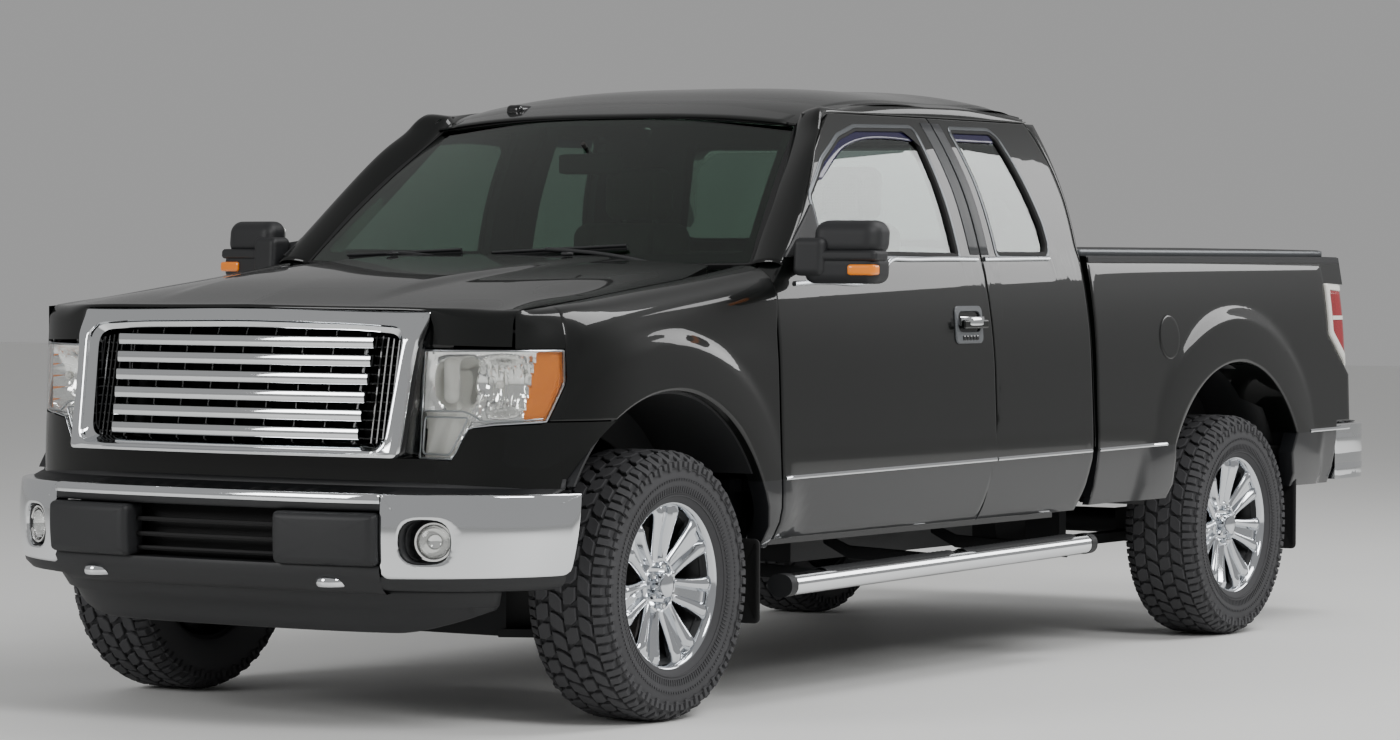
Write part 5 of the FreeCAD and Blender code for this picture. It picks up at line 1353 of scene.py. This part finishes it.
class MakeRoof(TruckOperator, bpy.types.Operator):
    """Roof skin with ditches, front pillars, aerial base, cowl and the cab's rear corners"""
    bl_idname = "truck.make_roof"
    bl_label = "Roof and pillars"

    # Along the truck: the roof's place, its edge's height, its middle's height and its half width
    STATIONS = mm((-872, 1757, 1790, 690), (-800, 1776, 1813, 704), (-600, 1815, 1866, 742),
                  (-200, 1826, 1896, 760), (150, 1826, 1899, 758), (420, 1812, 1878, 744),
                  (472.5, 1796, 1856, 738))
    # The rail from the cowl's corner up the front pillar and along the roof's edge, and its seam
    RAIL = mm((852, -1384, 1318), (800, -1216, 1463), (746, -1042, 1611), (696, -882, 1744),
              (690, -800, 1778), (739, -600, 1817), (757, -200, 1828), (755, 150, 1828),
              (741, 420, 1814), (735, 472.5, 1798))
    SEAM = mm((-1381, 1318), (-1200, 1481), (-1011, 1670), (-909, 1745), (-830, 1788), (-600, 1797),
              (-200, 1797), (150, 1797), (400, 1797), (459, 1794))

    def execute(self, context):
        stations = spline(self.STATIONS[:, 0], self.STATIONS[:, 1:])

        def roof(f, y, out):
            """A cubic crown from edge to edge, bowed forwards above the windscreen."""
            edge, crown, half = np.moveaxis(stations(y), -1, 0)
            bow = -0.028 * (1 - f * f) * step((-0.60 - y) / 0.30)
            return xyz(f * half, y + bow, edge + (crown - edge) * (1 - np.abs(f) ** 3) + 0.0025 + out)
        f = np.linspace(-1, 1, 71)[None]
        y = np.linspace(-0.872, 0.4715, 60)[:, None]
        ditch = -0.010 * np.exp(-((np.abs(f) - 0.955) / 0.022) ** 4)
        skin = np.concatenate([roof(f, y[:1], -0.006) + (0, -0.004, 0), roof(f, y, ditch),
                               roof(f, y[-1:], -0.006) + (0, 0.007, 0),
                               roof(f, y[-1:], -0.045) + (0, 0.011, 0)])
        piece("roof_skin", Shape().grid(skin), "paint", sharp=50)
        ditches = Shape()
        for sign in (-1, 1):
            ditches.grid(np.stack([roof(sign * k, np.linspace(-0.80, 0.44, 50), out) for k, out in
                                   mm((940, -8.5), (943, -4), (955, -2.5), (967, -4), (970, -8.5))]))
        piece("roof_ditches", ditches, "seal")

        outer = xyz(side(self.SEAM[:, 1]) + 0.002, *self.SEAM.T)
        k = np.linspace(0, 9, 110)
        inner, outer = (spline(np.arange(10.0), line)(k) for line in (self.RAIL, outer))
        normal = xyz(0.55, -0.55 * (1 - step((k - 3) / 1.2)), 0.62 + 0.1 * step((k - 3) / 1.2))
        swell = (0.016 - 0.009 * step(k - 3.2))[:, None]
        # The joint of pillar and roof edge stands up as a soft knuckle
        knuckle = xyz(0, 0, 0.024 * np.exp(-((k - 3.75) / 0.65) ** 2))
        rows = [inner + (outer - inner) * a + normal * (swell * b + c) + knuckle * d
                for a, b, c, d in
                ((-0.10, 0, -0.020, 0), (-0.03, 0, -0.002, 0.6), (0.03, 0.12, 0.002, 1),
                 (0.15, 0.50, 0.002, 1), (0.35, 0.85, 0.001, 1), (0.55, 1.0, 0, 1),
                 (0.75, 0.80, 0, 1), (0.90, 0.42, 0, 0.8), (0.98, 0.10, 0, 0.5),
                 (1.0, 0, -0.003, 0.1), (1.0, 0, -0.022, 0))]
        both("cab_rail", sheet(rows), "paint", wall=0.003, sharp=60)
        piece("aerial_base", cushion((-0.485, -0.79, 1.800), (-0.425, -0.70, 1.838), 0.016, 13),
              "gloss_black")
        # Grille panel of the cowl between hood and windscreen
        x = 0.845 * np.linspace(-1, 1, 61)
        back = np.interp(np.abs(x), [0, 0.45, 0.858], [-1.484, -1.456, -1.366])
        front = np.interp(np.abs(x), [0, 0.5, 0.762, 0.858], [-1.560, -1.527, -1.493, -1.44])
        base = hood_height(x, -1.46 + 0 * x) - 0.022
        rows = [xyz(x, front + (back - front) * k, base + z) for k, z in
                ((0, -0.05), (0, -0.016), (0.1, -0.010), (0.5, -0.012), (0.9, -0.006), (1.0, 0.0))]
        piece("cowl_panel", sheet(rows), "black", wall=0.003)
        self.cab_corner()
        return {"FINISHED"}

    def cab_corner(self):
        """Rear corner of the cab behind the rear door, and the gap's dark liner."""
        z = np.concatenate([np.linspace(0.71, 1.33, 20), np.linspace(1.345, 1.792, 20)])
        # Behind the door's rear edge, and behind its outer skin when it stands open at 90 degrees
        y0 = np.maximum(np.interp(z, C_LINE[:, 1], C_LINE[:, 0]) + 0.0055,
                        0.505 + (side(z) - 0.970) + 0.0047)
        x = side(z) + 0.001
        # Its front hem is shallow, so that the open door's rear edge swings past it
        rows = [xyz(x - depth, np.maximum(y0 + back, least), z) for depth, back, least in
                mm((4.5, 4.5, 0), (3, 2, 0), (1, 0.8, 0), (0, 3, 0), (2, 6, 520), (10, 11, 534),
                   (50, 12, 538))]
        both("cab_corner", sheet(rows), "paint", wall=0.0015, sharp=50)


class MakeGlass(TruckOperator, bpy.types.Operator):
    """Windscreen with its painted edge, rear window, mirror inside, and wipers"""
    bl_idname = "truck.make_glass"
    bl_label = "Windscreen and wipers"

    def execute(self, context):
        low = along(mm((-858, -1372, 1312), (-450, -1462, 1306), (0, -1490, 1304), (450, -1462, 1306),
                       (858, -1372, 1312)), 61)
        high = along(mm((-690, -850, 1752), (-360, -880, 1778), (0, -890, 1786), (360, -880, 1778),
                        (690, -850, 1752)), 61)

        def screen(u, v, out):
            """Straight between the lower and upper lines, plus half a sine wave of bulge."""
            i = np.clip(u, 0, 1) * 60
            a, b = (np.stack([np.interp(i, np.arange(61), column) for column in line.T], -1)
                    for line in (low, high))
            bulge = 0.014 * np.sin(np.pi * np.clip(v, 0, 1)) + out
            return a + (b - a) * np.asarray(v)[..., None] + xyz((u - 0.5) * 0.5 * bulge,
                                                               -0.62 * bulge, 0.76 * bulge)
        outer = trace(box(0.004, 0.006, 0.996, 0.994), 240, 0.02)
        # Counted in shares of width and height, so the painted edge is 30 to 45 mm wide
        inner = trace([(0.028, 0.085), (0.972, 0.085), (0.968, 0.945), (0.032, 0.945)], 240, 0.04)
        u, v = np.meshgrid(np.linspace(0.002, 0.998, 70), np.linspace(0.003, 0.997, 40),
                           indexing="ij")
        piece("windscreen_pane", Shape().grid(screen(u, v, 0.0035)), "screen", replaces="windshield",
              wall=0.006)
        flat = mm((0, -4.5))
        piece("windscreen_frit", panel(screen, outer, inner, 5, flat, flat), "gloss_black",
              slot="window_glass")
        seal = panel(screen, inward(outer, -0.004), inward(outer, 0.009), 3,
                     mm((0, -12), (0, 5), (1, 7)), mm((0, 4.2), (1, 6)))
        piece("windscreen_seal", seal, "seal")
        inside = cushion((-0.12, -1.010, 1.600), (0.12, -0.985, 1.665), 0.012, 9)
        inside.add(rod((0, -0.995, 1.66), (0, -1.045, 1.70), 0.008))
        piece("inside_mirror", inside, "cabin_dark")

        def back(x, z, out):
            """The flat rear wall's plane."""
            return xyz(x, 0.466 + out, z)
        outer = trace(mm((-606, 1398), (606, 1398), (566, 1727), (-566, 1727)), 120, 0.05)
        piece("rear_pane", panel(back, outer, None, 8, mm((0, 0))), "glass", replaces="rear_window",
              wall=0.005)
        rim = panel(back, inward(outer, -0.012), inward(outer, 0.014), 3,
                    mm((0, 0), (0, 30), (4, 32)), mm((0, 4), (2, 30)))
        piece("rear_window_seal", rim, "seal")
        # Wipers: arm, hinge and blade with its frame, along the pane's lower edge
        arms = Shape()
        for foot, tip in (((0.83, -0.02), (0.585, 0.085)), ((0.47, -0.03), (0.235, 0.06))):
            a, b = (screen(*np.array(end), 0.020) for end in (foot, tip))
            knee = a + (b - a) * 0.4 + (0, -0.004, 0.010)
            arms.add(sweep(along([a, knee, b], 14), oval(0.009, 0.006, 10, 3)))
            cap = mm((0, 0), (0, 17), (22, 17), (30, 11), (30, 0))
            arms.add(lathe(cap, 18, a - (0, 0, 0.018), 2))
            s = np.linspace(-0.36, 0.5, 24)
            for out, r in ((0.0175, (0.006, 0.005)), (0.009, (0.002, 0.007))):
                arms.add(sweep(screen(tip[0] + 0.32 * s, tip[1] + 0.05 * s, out), oval(*r, 8)))
        piece("wiper_set", arms, "black", replaces="wipers")
        return {"FINISHED"}


def polar(x, r, a):
    """Points at a place along the axle, a radius and an angle."""
    return xyz(x, r * np.cos(a), r * np.sin(a))


class MakeWheels(TruckOperator, bpy.types.Operator):
    """All-terrain tyres with cut lugs, split-spoke rims and their nuts"""
    bl_idname = "truck.make_wheels"
    bl_label = "Wheels"

    def execute(self, context):
        barrel = lathe(mm((-105, 236), (-108, 246), (-104, 246), (-98, 228), (-60, 205), (30, 202),
                          (74, 214), (89, 238), (89, 229), (60, 205), (30, 194), (-60, 197),
                          (-98, 218)), 72)
        tyre, rim, nuts = self.tyre(), self.rim(), self.nuts()
        for end, y in AXLES:
            for name, shape, looks, replaces, slot, sharp in (
                    ("tyre_", tyre, "tyre", "tire_%s_%%" % end, None, 40),
                    ("rim_spokes_", rim, "rim", "rim_%s_%%" % end, None, 40),
                    ("rim_barrel_", barrel, "dark_metal", "", "wheel_metal", 35),
                    ("wheel_nuts_", nuts, "chrome", "", "wheel_metal", 35)):
                both(name + end, shape.moved((WHEEL_X, y, self.sizes.hub)), looks,
                     "wheel_%s_%%" % end, replaces, slot=slot, sharp=sharp)
        return {"FINISHED"}

    def tyre(self):
        """Carcass turned from its section, sidewall ribs, and five rows of lugs a pitch."""
        half = mm((-98, 238), (-112, 240), (-122, 252), (-130, 275), (-134.5, 300), (-134.5, 322),
                  (-131, 345), (-124, 362), (-112, 372.5), (-90, 377.5), (-50, 379.5), (0, 380))
        bead_seat = mm((98, 232), (-98, 232))
        shape = lathe(np.vstack([half, half[-2::-1] * (-1, 1), bead_seat]), 120)
        for r, x, w in ((0.262, 0.1262, 0.0028), (0.341, 0.1322, 0.0035)):
            shape.add(lathe(np.array([(x - 0.004, r - w), (x + 0.002, r - w * 0.6),
                                      (x + 0.002, r + w * 0.6), (x - 0.004, r + w)]), 96))
        for r0, r1, x in ((0.2705, 0.2885, 0.1312), (0.304, 0.311, 0.1352)):
            r, share = np.array(box(r0, -0.35, r1, 0.35)).T
            for a in np.arange(150) * TAU / 150:
                shape.tube([polar(x + dx + (r > r0) * 0.0022, r, a + share * TAU / 300)
                            for dx in (-0.003, 0.0012)], ends=(-1,))

        def lug(outline, low, high):
            """Rings of a lug: its outline, straight up and then drawn in at the top."""
            outline = np.asarray(outline, float)
            middle = outline.mean(0)
            return np.stack([xyz(*(middle + (outline - middle) * k).T, h) for k, h in
                             ((1, low), (1, high - 0.0022), (0.90, high))])
        lugs = []
        for x, w, skew, phase in ((-0.074, 0.040, 0.14, 0.0), (-0.026, 0.042, -0.16, 0.5),
                                  (0.022, 0.042, 0.16, 0.15), (0.070, 0.040, -0.14, 0.65)):
            outline = [(-0.36 + skew, -0.5), (0.28 + skew, -0.5), (0.41, -0.02), (0.44, 0.06),
                       (0.36 - skew, 0.5), (-0.28 - skew, 0.5), (-0.41, 0.02), (-0.44, -0.06)]
            lugs.append(lug([(phase + a, x + b * w) for a, b in outline], 0.376,
                            0.3925 - 0.006 * (x / 0.135) ** 2))
        for sign in (-1, 1):
            for phase, reach in ((0.25 + sign * 0.12, 0.0), (0.75 + sign * 0.12, -0.010)):
                rings = lug([(phase - 0.19, sign * 0.098), (phase + 0.17, sign * 0.096),
                             (phase + 0.19, sign * (0.1335 + reach)),
                             (phase - 0.17, sign * (0.1335 + reach))], 0.368, 0.388)
                out = np.clip((np.abs(rings[..., 1]) - 0.110) / 0.0235, 0, 1)
                rings[..., 2] -= out ** 1.5 * 0.024
                lugs.append(rings)
                # Its foot on the side wall: points of (turn share, radius)
                foot = np.array([(phase - 0.17, 0.360), (phase + 0.17, 0.360),
                                 (phase + 0.13, 0.333 - reach), (phase - 0.13, 0.333 - reach)])
                mid = foot.mean(0)
                lugs.append(np.stack([
                    xyz(ring[:, 0], sign * x, ring[:, 1]) for ring, x in
                    ((foot, 0.128), (foot, 0.1375), (mid + (foot - mid) * 0.86, 0.1392))]))
        pitch = TAU / self.sizes.pitches
        for rings in lugs:
            turn, x, r = np.moveaxis(rings, -1, 0)
            for i in range(self.sizes.pitches):
                shape.tube(polar(x, r, (turn + i) * pitch), ends=(-1,))
        return shape

    def rim(self):
        """Flange and hub turned from their sections, with split spokes in pairs."""
        shape = lathe(mm((88, 240), (104, 244), (110, 247.5), (113.5, 245), (112, 239), (106, 233),
                         (88, 228)), 96)
        shape.add(lathe(mm((0, 0), (0, 82), (40, 86), (66, 84), (73.5, 78), (73.5, 72), (62, 68),
                           (62, 40), (88, 38), (100, 33), (104, 20), (105, 0)), 60))
        k = np.linspace(0, 1, 13)[:, None]
        across = np.array([-1, -1, -0.96, -0.84, -0.62, -0.40, -0.26, 0.26, 0.40, 0.62, 0.84, 0.96,
                           1, 1, 0.6, -0.6])[None]
        lift = mm(-34, -12, -4, 2, 4.5, 1, -11.5, -11.5, 1, 4.5, 2, -4, -12, -34, -36, -36)[None]
        r = 0.072 + 0.160 * k
        t = across * (0.0355 + 0.031 * k - 0.003 * np.sin(math.pi * k))
        face = 0.072 + 0.034 * k ** 1.6 + 0.004 * np.sin(math.pi * k)
        deep = np.where(lift < -0.02, lift * 0.55 - 0.006 * k, lift)
        depth = face + deep - 0.010 * np.clip((k - 0.88) / 0.12, 0, 1) * (lift > -0.02)
        bow = r - 0.5 * t ** 2 / 0.24 * k
        for i in range(self.sizes.spokes):
            a = TAU * i / self.sizes.spokes + math.pi / 2
            shape.tube(xyz(depth, bow * math.cos(a) - t * math.sin(a),
                           bow * math.sin(a) + t * math.cos(a)))
        return shape

    def nuts(self):
        """Six nuts on a circle round the hub."""
        shape = Shape()
        for i in range(6):
            shape.add(lathe(mm((60, 0), (60, 10.5), (83, 10.5), (88, 7.5), (90, 0)), 6,
                            polar(0.0, 0.0575, TAU * (i + 0.5) / 6)))
        return shape


class MakeUnderside(TruckOperator, bpy.types.Operator):
    """Step bars with end caps and pads, mud flaps, rear arch liners and rear bumper"""
    bl_idname = "truck.make_underside"
    bl_label = "Steps, flaps and rear bumper"

    def execute(self, context):
        def step_line(y, dx=0.0, dz=0.0):
            """The step bar's middle line, rising rearwards."""
            return xyz(0.985 + dx, y, 0.360 + 0.014 * (y + 1.430) + dz)
        bar = sweep(step_line(np.linspace(-1.425, 0.505, 60)), oval(0.0415, 0.0335, 28, 2.3))
        both("step_tube", bar, "chrome", "root", "step_bars")
        caps = Shape()
        for y0, y1 in ((-1.432, -1.395), (0.475, 0.512)):
            caps.add(sweep(step_line(np.linspace(y0, y1, 4)), oval(0.0430, 0.0350, 28, 2.3)))
        both("step_caps", caps, "black")
        pads = Shape()
        for y0, y1 in ((-1.20, -0.42), (-0.34, 0.40)):
            y = np.linspace(y0, y1, 60)
            ribs = 0.0012 * np.cos((y - y0) * TAU / 0.026)
            taper = 0.72 + 0.28 * np.clip(np.minimum(y - y0, y1 - y) / 0.05, 0, 1)
            pads.grid(np.stack([step_line(y, x * taper, dz + ribs) for x, dz in
                                mm((-30, 21.5), (-28, 30), (-12, 35.8), (12, 35.8), (28, 30),
                                   (30, 21.5))]))
        both("step_pads", pads, "black", wall=0.002)
        brackets = Shape()
        for y in (-1.125, -0.325, 0.375):
            brackets.add(sweep([(0.47, y, 0.545), (0.483, y, 0.42), (0.56, y, 0.385),
                                (0.985, y, 0.368)], oval(0.022, 0.008, 10, 4), (0, 1, 0)))
        both("step_brackets", brackets, "dark_metal")

        flaps = Shape()
        for corners, y in ((box(0.842, 0.254, 0.985, 0.505), -1.547),
                           (box(0.742, 0.283, 0.990, 0.66), 2.131)):
            ring = trace(corners, 60, 0.02)
            lines = [(inward(ring, inset).T, out) for inset, out in
                     mm((0, 0), (0, 3), (4, 5), (12, 5.5), (16, 3.5))]
            for sign in (-1, 1):
                flaps.tube([xyz(x, y + sign * out, z) for (x, z), out in lines], ends=(-1,))
        both("mud_flap", flaps, "seal", "root", "mud_flaps", slot="flap_rubber")
        # Liner of the rear wheel's arch: a bent sheet with its flat inner wall
        a = np.radians(np.linspace(8, 172, 60))
        y, z = 1.640 + 0.560 * np.cos(a), 0.410 + 0.560 * np.sin(a)
        rows = [xyz(x, y, np.minimum(z, most)) for x, most in
                ((0.905, 1), (0.780, 1), (0.655, 1), (0.655, 0.80), (0.655, 0.62))]
        both("rear_arch_liner", sheet(rows), "black", wall=0.003)
        self.rear_bumper()
        return {"FINISHED"}

    def rear_bumper(self):
        """Chrome face bent round the corners, step pad, closing sheet, blank plate and lamps."""
        half = mm((-988, 2470), (-986, 2600), (-970, 2735), (-925, 2830), (-800, 2902), (-500, 2939),
                  (0, 2945))
        path = along(np.vstack([half, half[-2::-1] * (-1, 1)]), 160)
        ahead = unit(np.gradient(path, axis=0))
        normal = np.stack([-ahead[:, 1], ahead[:, 0]], 1)
        normal *= np.sign((normal * (path - (0, 2.3))).sum(1, keepdims=True))
        rows = [xyz(*(path + normal * out).T, z) for z, out in
                mm((527, -50), (527, -8), (530, -3), (540, 0), (580, 1), (590, -4), (612, -4),
                   (622, 1), (690, 0), (712, -3), (724, -10), (727.5, -22), (727.5, -60))]
        piece("rear_bumper_face", sheet(rows), "chrome", wall=0.003)
        x, u = np.linspace(-0.90, 0.90, 61)[:, None], np.linspace(0, 1, 16)[None]
        back = np.interp(np.abs(x), [0, 0.5, 0.8, 0.9], [2.925, 2.918, 2.880, 2.835])
        ribs = 0.0012 * np.cos(x * TAU / 0.03) * (u > 0.15) * (u < 0.85)
        pad = Shape().grid(xyz(x, 2.60 + (back - 2.60) * u, 0.7285 + ribs))
        piece("rear_step_pad", pad, "black", wall=0.004)
        # Closing sheet between step pad and tailgate, under the tailgate's swing
        x = np.linspace(-0.935, 0.935, 30)
        rows = [xyz(x, y, z) for y, z in
                mm((2612, 724), (2598, 740), (2590, 760), (2586, 780), (2574, 786))]
        piece("rear_closing_sheet", sheet(rows), "black", wall=0.003)
        pocket = cushion((-0.19, 2.895, 0.560), (0.19, 2.9495, 0.712), 0.010, 13)
        piece("plate_pocket", pocket, "black")
        blank = cushion((-0.152, 2.945, 0.570), (0.152, 2.9515, 0.700), 0.003, 13)
        piece("blank_plate", blank, "white_lens", slot="bright_trim")
        lamps = Shape()
        for x in (-0.30, 0.30):
            lamps.add(cushion((x - 0.03, 2.925, 0.632), (x + 0.03, 2.948, 0.652), 0.006, 7))
        piece("plate_lamps", lamps, "white_lens")


class MakeCabin(TruckOperator, bpy.types.Operator):
    """Padded seats, dashboard top with vents and screen hood, steering wheel"""
    bl_idname = "truck.make_cabin"
    bl_label = "Cabin"

    def execute(self, context):
        flat, upright = (0, 2), (0, 1)
        for side_name, sign in SIDES:
            x = sign * 0.41
            self.pad("seat_cushion_" + side_name, (x - 0.23, -0.72, 0.755), (x + 0.23, -0.19, 0.902),
                     0.060, 0.014, flat, replaces="front_seats" if sign > 0 else "")
            self.pad("seat_back_" + side_name, (x - 0.22, -0.235, 0.86), (x + 0.22, -0.108, 1.455),
                     0.055, 0.012, upright, 0.12)
            self.pad("head_rest_" + side_name, (x - 0.125, -0.150, 1.465), (x + 0.125, -0.062, 1.640),
                     0.040, 0.004, upright, fill=0.9)
            posts = Shape()
            for dx in (-0.06, 0.06):
                posts.add(rod((x + dx, -0.105, 1.42), (x + dx, -0.105, 1.50), 0.007))
            piece("rest_posts_" + side_name, posts, "steel")
            riser = cushion((x - 0.18, -0.66, 0.705), (x + 0.18, -0.25, 0.765), 0.01, 9)
            piece("seat_riser_" + side_name, riser, "cabin_dark")
        self.pad("bench_cushion", (-0.70, 0.02, 0.72), (0.70, 0.40, 0.902), 0.055, 0.012, flat,
                 replaces="rear_seat")
        self.pad("bench_back", (-0.70, 0.305, 0.86), (0.70, 0.432, 1.362), 0.055, 0.012, upright)
        self.dash()
        self.wheel()
        return {"FINISHED"}

    def pad(self, name, low, high, radius, groove, axes, lean=0.0, fill=0.8, replaces=""):
        """A rounded cushion with two sewn grooves; lean tips its top rearwards."""
        shape = cushion(low, high, radius, 33)
        middle, half = (np.asarray(low) + high) / 2, (np.asarray(high) - low) / 2
        across, deep = axes
        for p in shape.points:
            q = (p - middle) / half
            line = np.exp(-((np.abs(q[:, across]) - 0.55) / 0.05) ** 2)
            swell = (1 - q[:, across] ** 2) * (1 - q[:, 3 - across - deep] ** 2)
            p[:, deep] += np.sign(q[:, deep]) * groove * (0.6 * swell - line * np.abs(q[:, deep]))
            p[:, 1] += lean * (p[:, 2] - low[2]) * 0.3
        piece(name, shape, "cloth", replaces=replaces)

    def dash(self):
        """Dashboard's skin: a profile across, curved in plan, with a hump over the dials."""
        x = np.linspace(-0.832, 0.832, 81)
        hood = 0.018 * np.exp(-((x - 0.40) / 0.17) ** 4)
        curve = -0.08075 * (1 - (x / 0.832) ** 2)
        rows = [xyz(x, y + curve * (y < -1.3), z + hood * h) for y, z, h in
                ((-1.382, 1.200, 0), (-1.380, 1.262, 0), (-1.330, 1.276, 0), (-1.22, 1.272, 0.2),
                 (-1.12, 1.262, 1.2), (-1.075, 1.248, 1.5), (-1.055, 1.215, 1.2), (-1.062, 1.12, 0),
                 (-1.075, 1.05, 0), (-1.12, 0.965, 0), (-1.30, 0.955, 0))]
        piece("dash_skin", Shape().bar(rows, closed=False), "cabin_dark", replaces="dashboard",
              sharp=45)
        trim = Shape()
        for x0, x1, z0, z1 in ((-0.16, 0.16, 0.985, 1.205), (0.25, 0.55, 1.12, 1.225),
                               (-0.70, -0.56, 1.14, 1.20), (0.62, 0.76, 1.14, 1.20)):
            trim.add(cushion((x0, -1.064, z0), (x1, -1.045, z1), 0.007, 9))
        piece("dash_panels", trim, "satin", slot="cabin_plastic")

    def wheel(self):
        """Steering wheel: rim, boss, four spokes and its column, tilted towards the driver."""
        a = np.linspace(0, TAU, 64, endpoint=False)
        shape = sweep(xyz(0.185 * np.cos(a), 0.185 * np.sin(a), 0), oval(0.0155, 0.0145, 14),
                      closed=True)
        shape.add(cushion((-0.075, -0.085, -0.030), (0.075, 0.060, 0.022), 0.022, 13))
        for x, y in ((-0.178, 0.0), (0.178, 0.0), (-0.05, -0.175), (0.05, -0.175)):
            shape.add(rod((x * 0.3, y * 0.3, -0.004), (x, y, 0), 0.012))
        shape.add(rod((0, 0, -0.02), (0, 0, -0.30), 0.032))
        shape.turned(math.radians(-62), "X", (0.400, -0.930, 1.150))
        piece("steering_rim", shape, "cabin_dark")


OPERATORS = [MakeStage, FinishFrame, MakeDoors, MakeBed, MakeHood, MakeFenders, MakeGrille,
             MakeBumper, MakeRoof, MakeGlass, MakeWheels, MakeUnderside, MakeCabin]


class TruckPanel(bpy.types.Panel):
    """Lists the truck's operators"""
    bl_idname = "VIEW3D_PT_truck"
    bl_label = "Truck"
    bl_space_type = "VIEW_3D"
    bl_region_type = "UI"
    bl_category = "Truck"

    def draw(self, context):
        for kind in OPERATORS:
            self.layout.operator(kind.bl_idname)
        for group in (context.scene.truck_sizes, context.scene.truck_colours):
            for name in group.__annotations__:
                self.layout.prop(group, name)


def register():
    """Make the classes and the settings known."""
    for kind in [TruckColours, TruckSizes] + OPERATORS + [TruckPanel]:
        bpy.utils.register_class(kind)
    bpy.types.Scene.truck_colours = bpy.props.PointerProperty(type=TruckColours)
    bpy.types.Scene.truck_sizes = bpy.props.PointerProperty(type=TruckSizes)


def unregister():
    """Take the settings and classes away again."""
    del bpy.types.Scene.truck_colours, bpy.types.Scene.truck_sizes
    for kind in [TruckPanel] + OPERATORS[::-1] + [TruckSizes, TruckColours]:
        bpy.utils.unregister_class(kind)


def main():
    register()
    for kind in OPERATORS:
        group, name = kind.bl_idname.split(".")
        getattr(getattr(bpy.ops, group), name)()


if __name__ == "__main__":
    main()
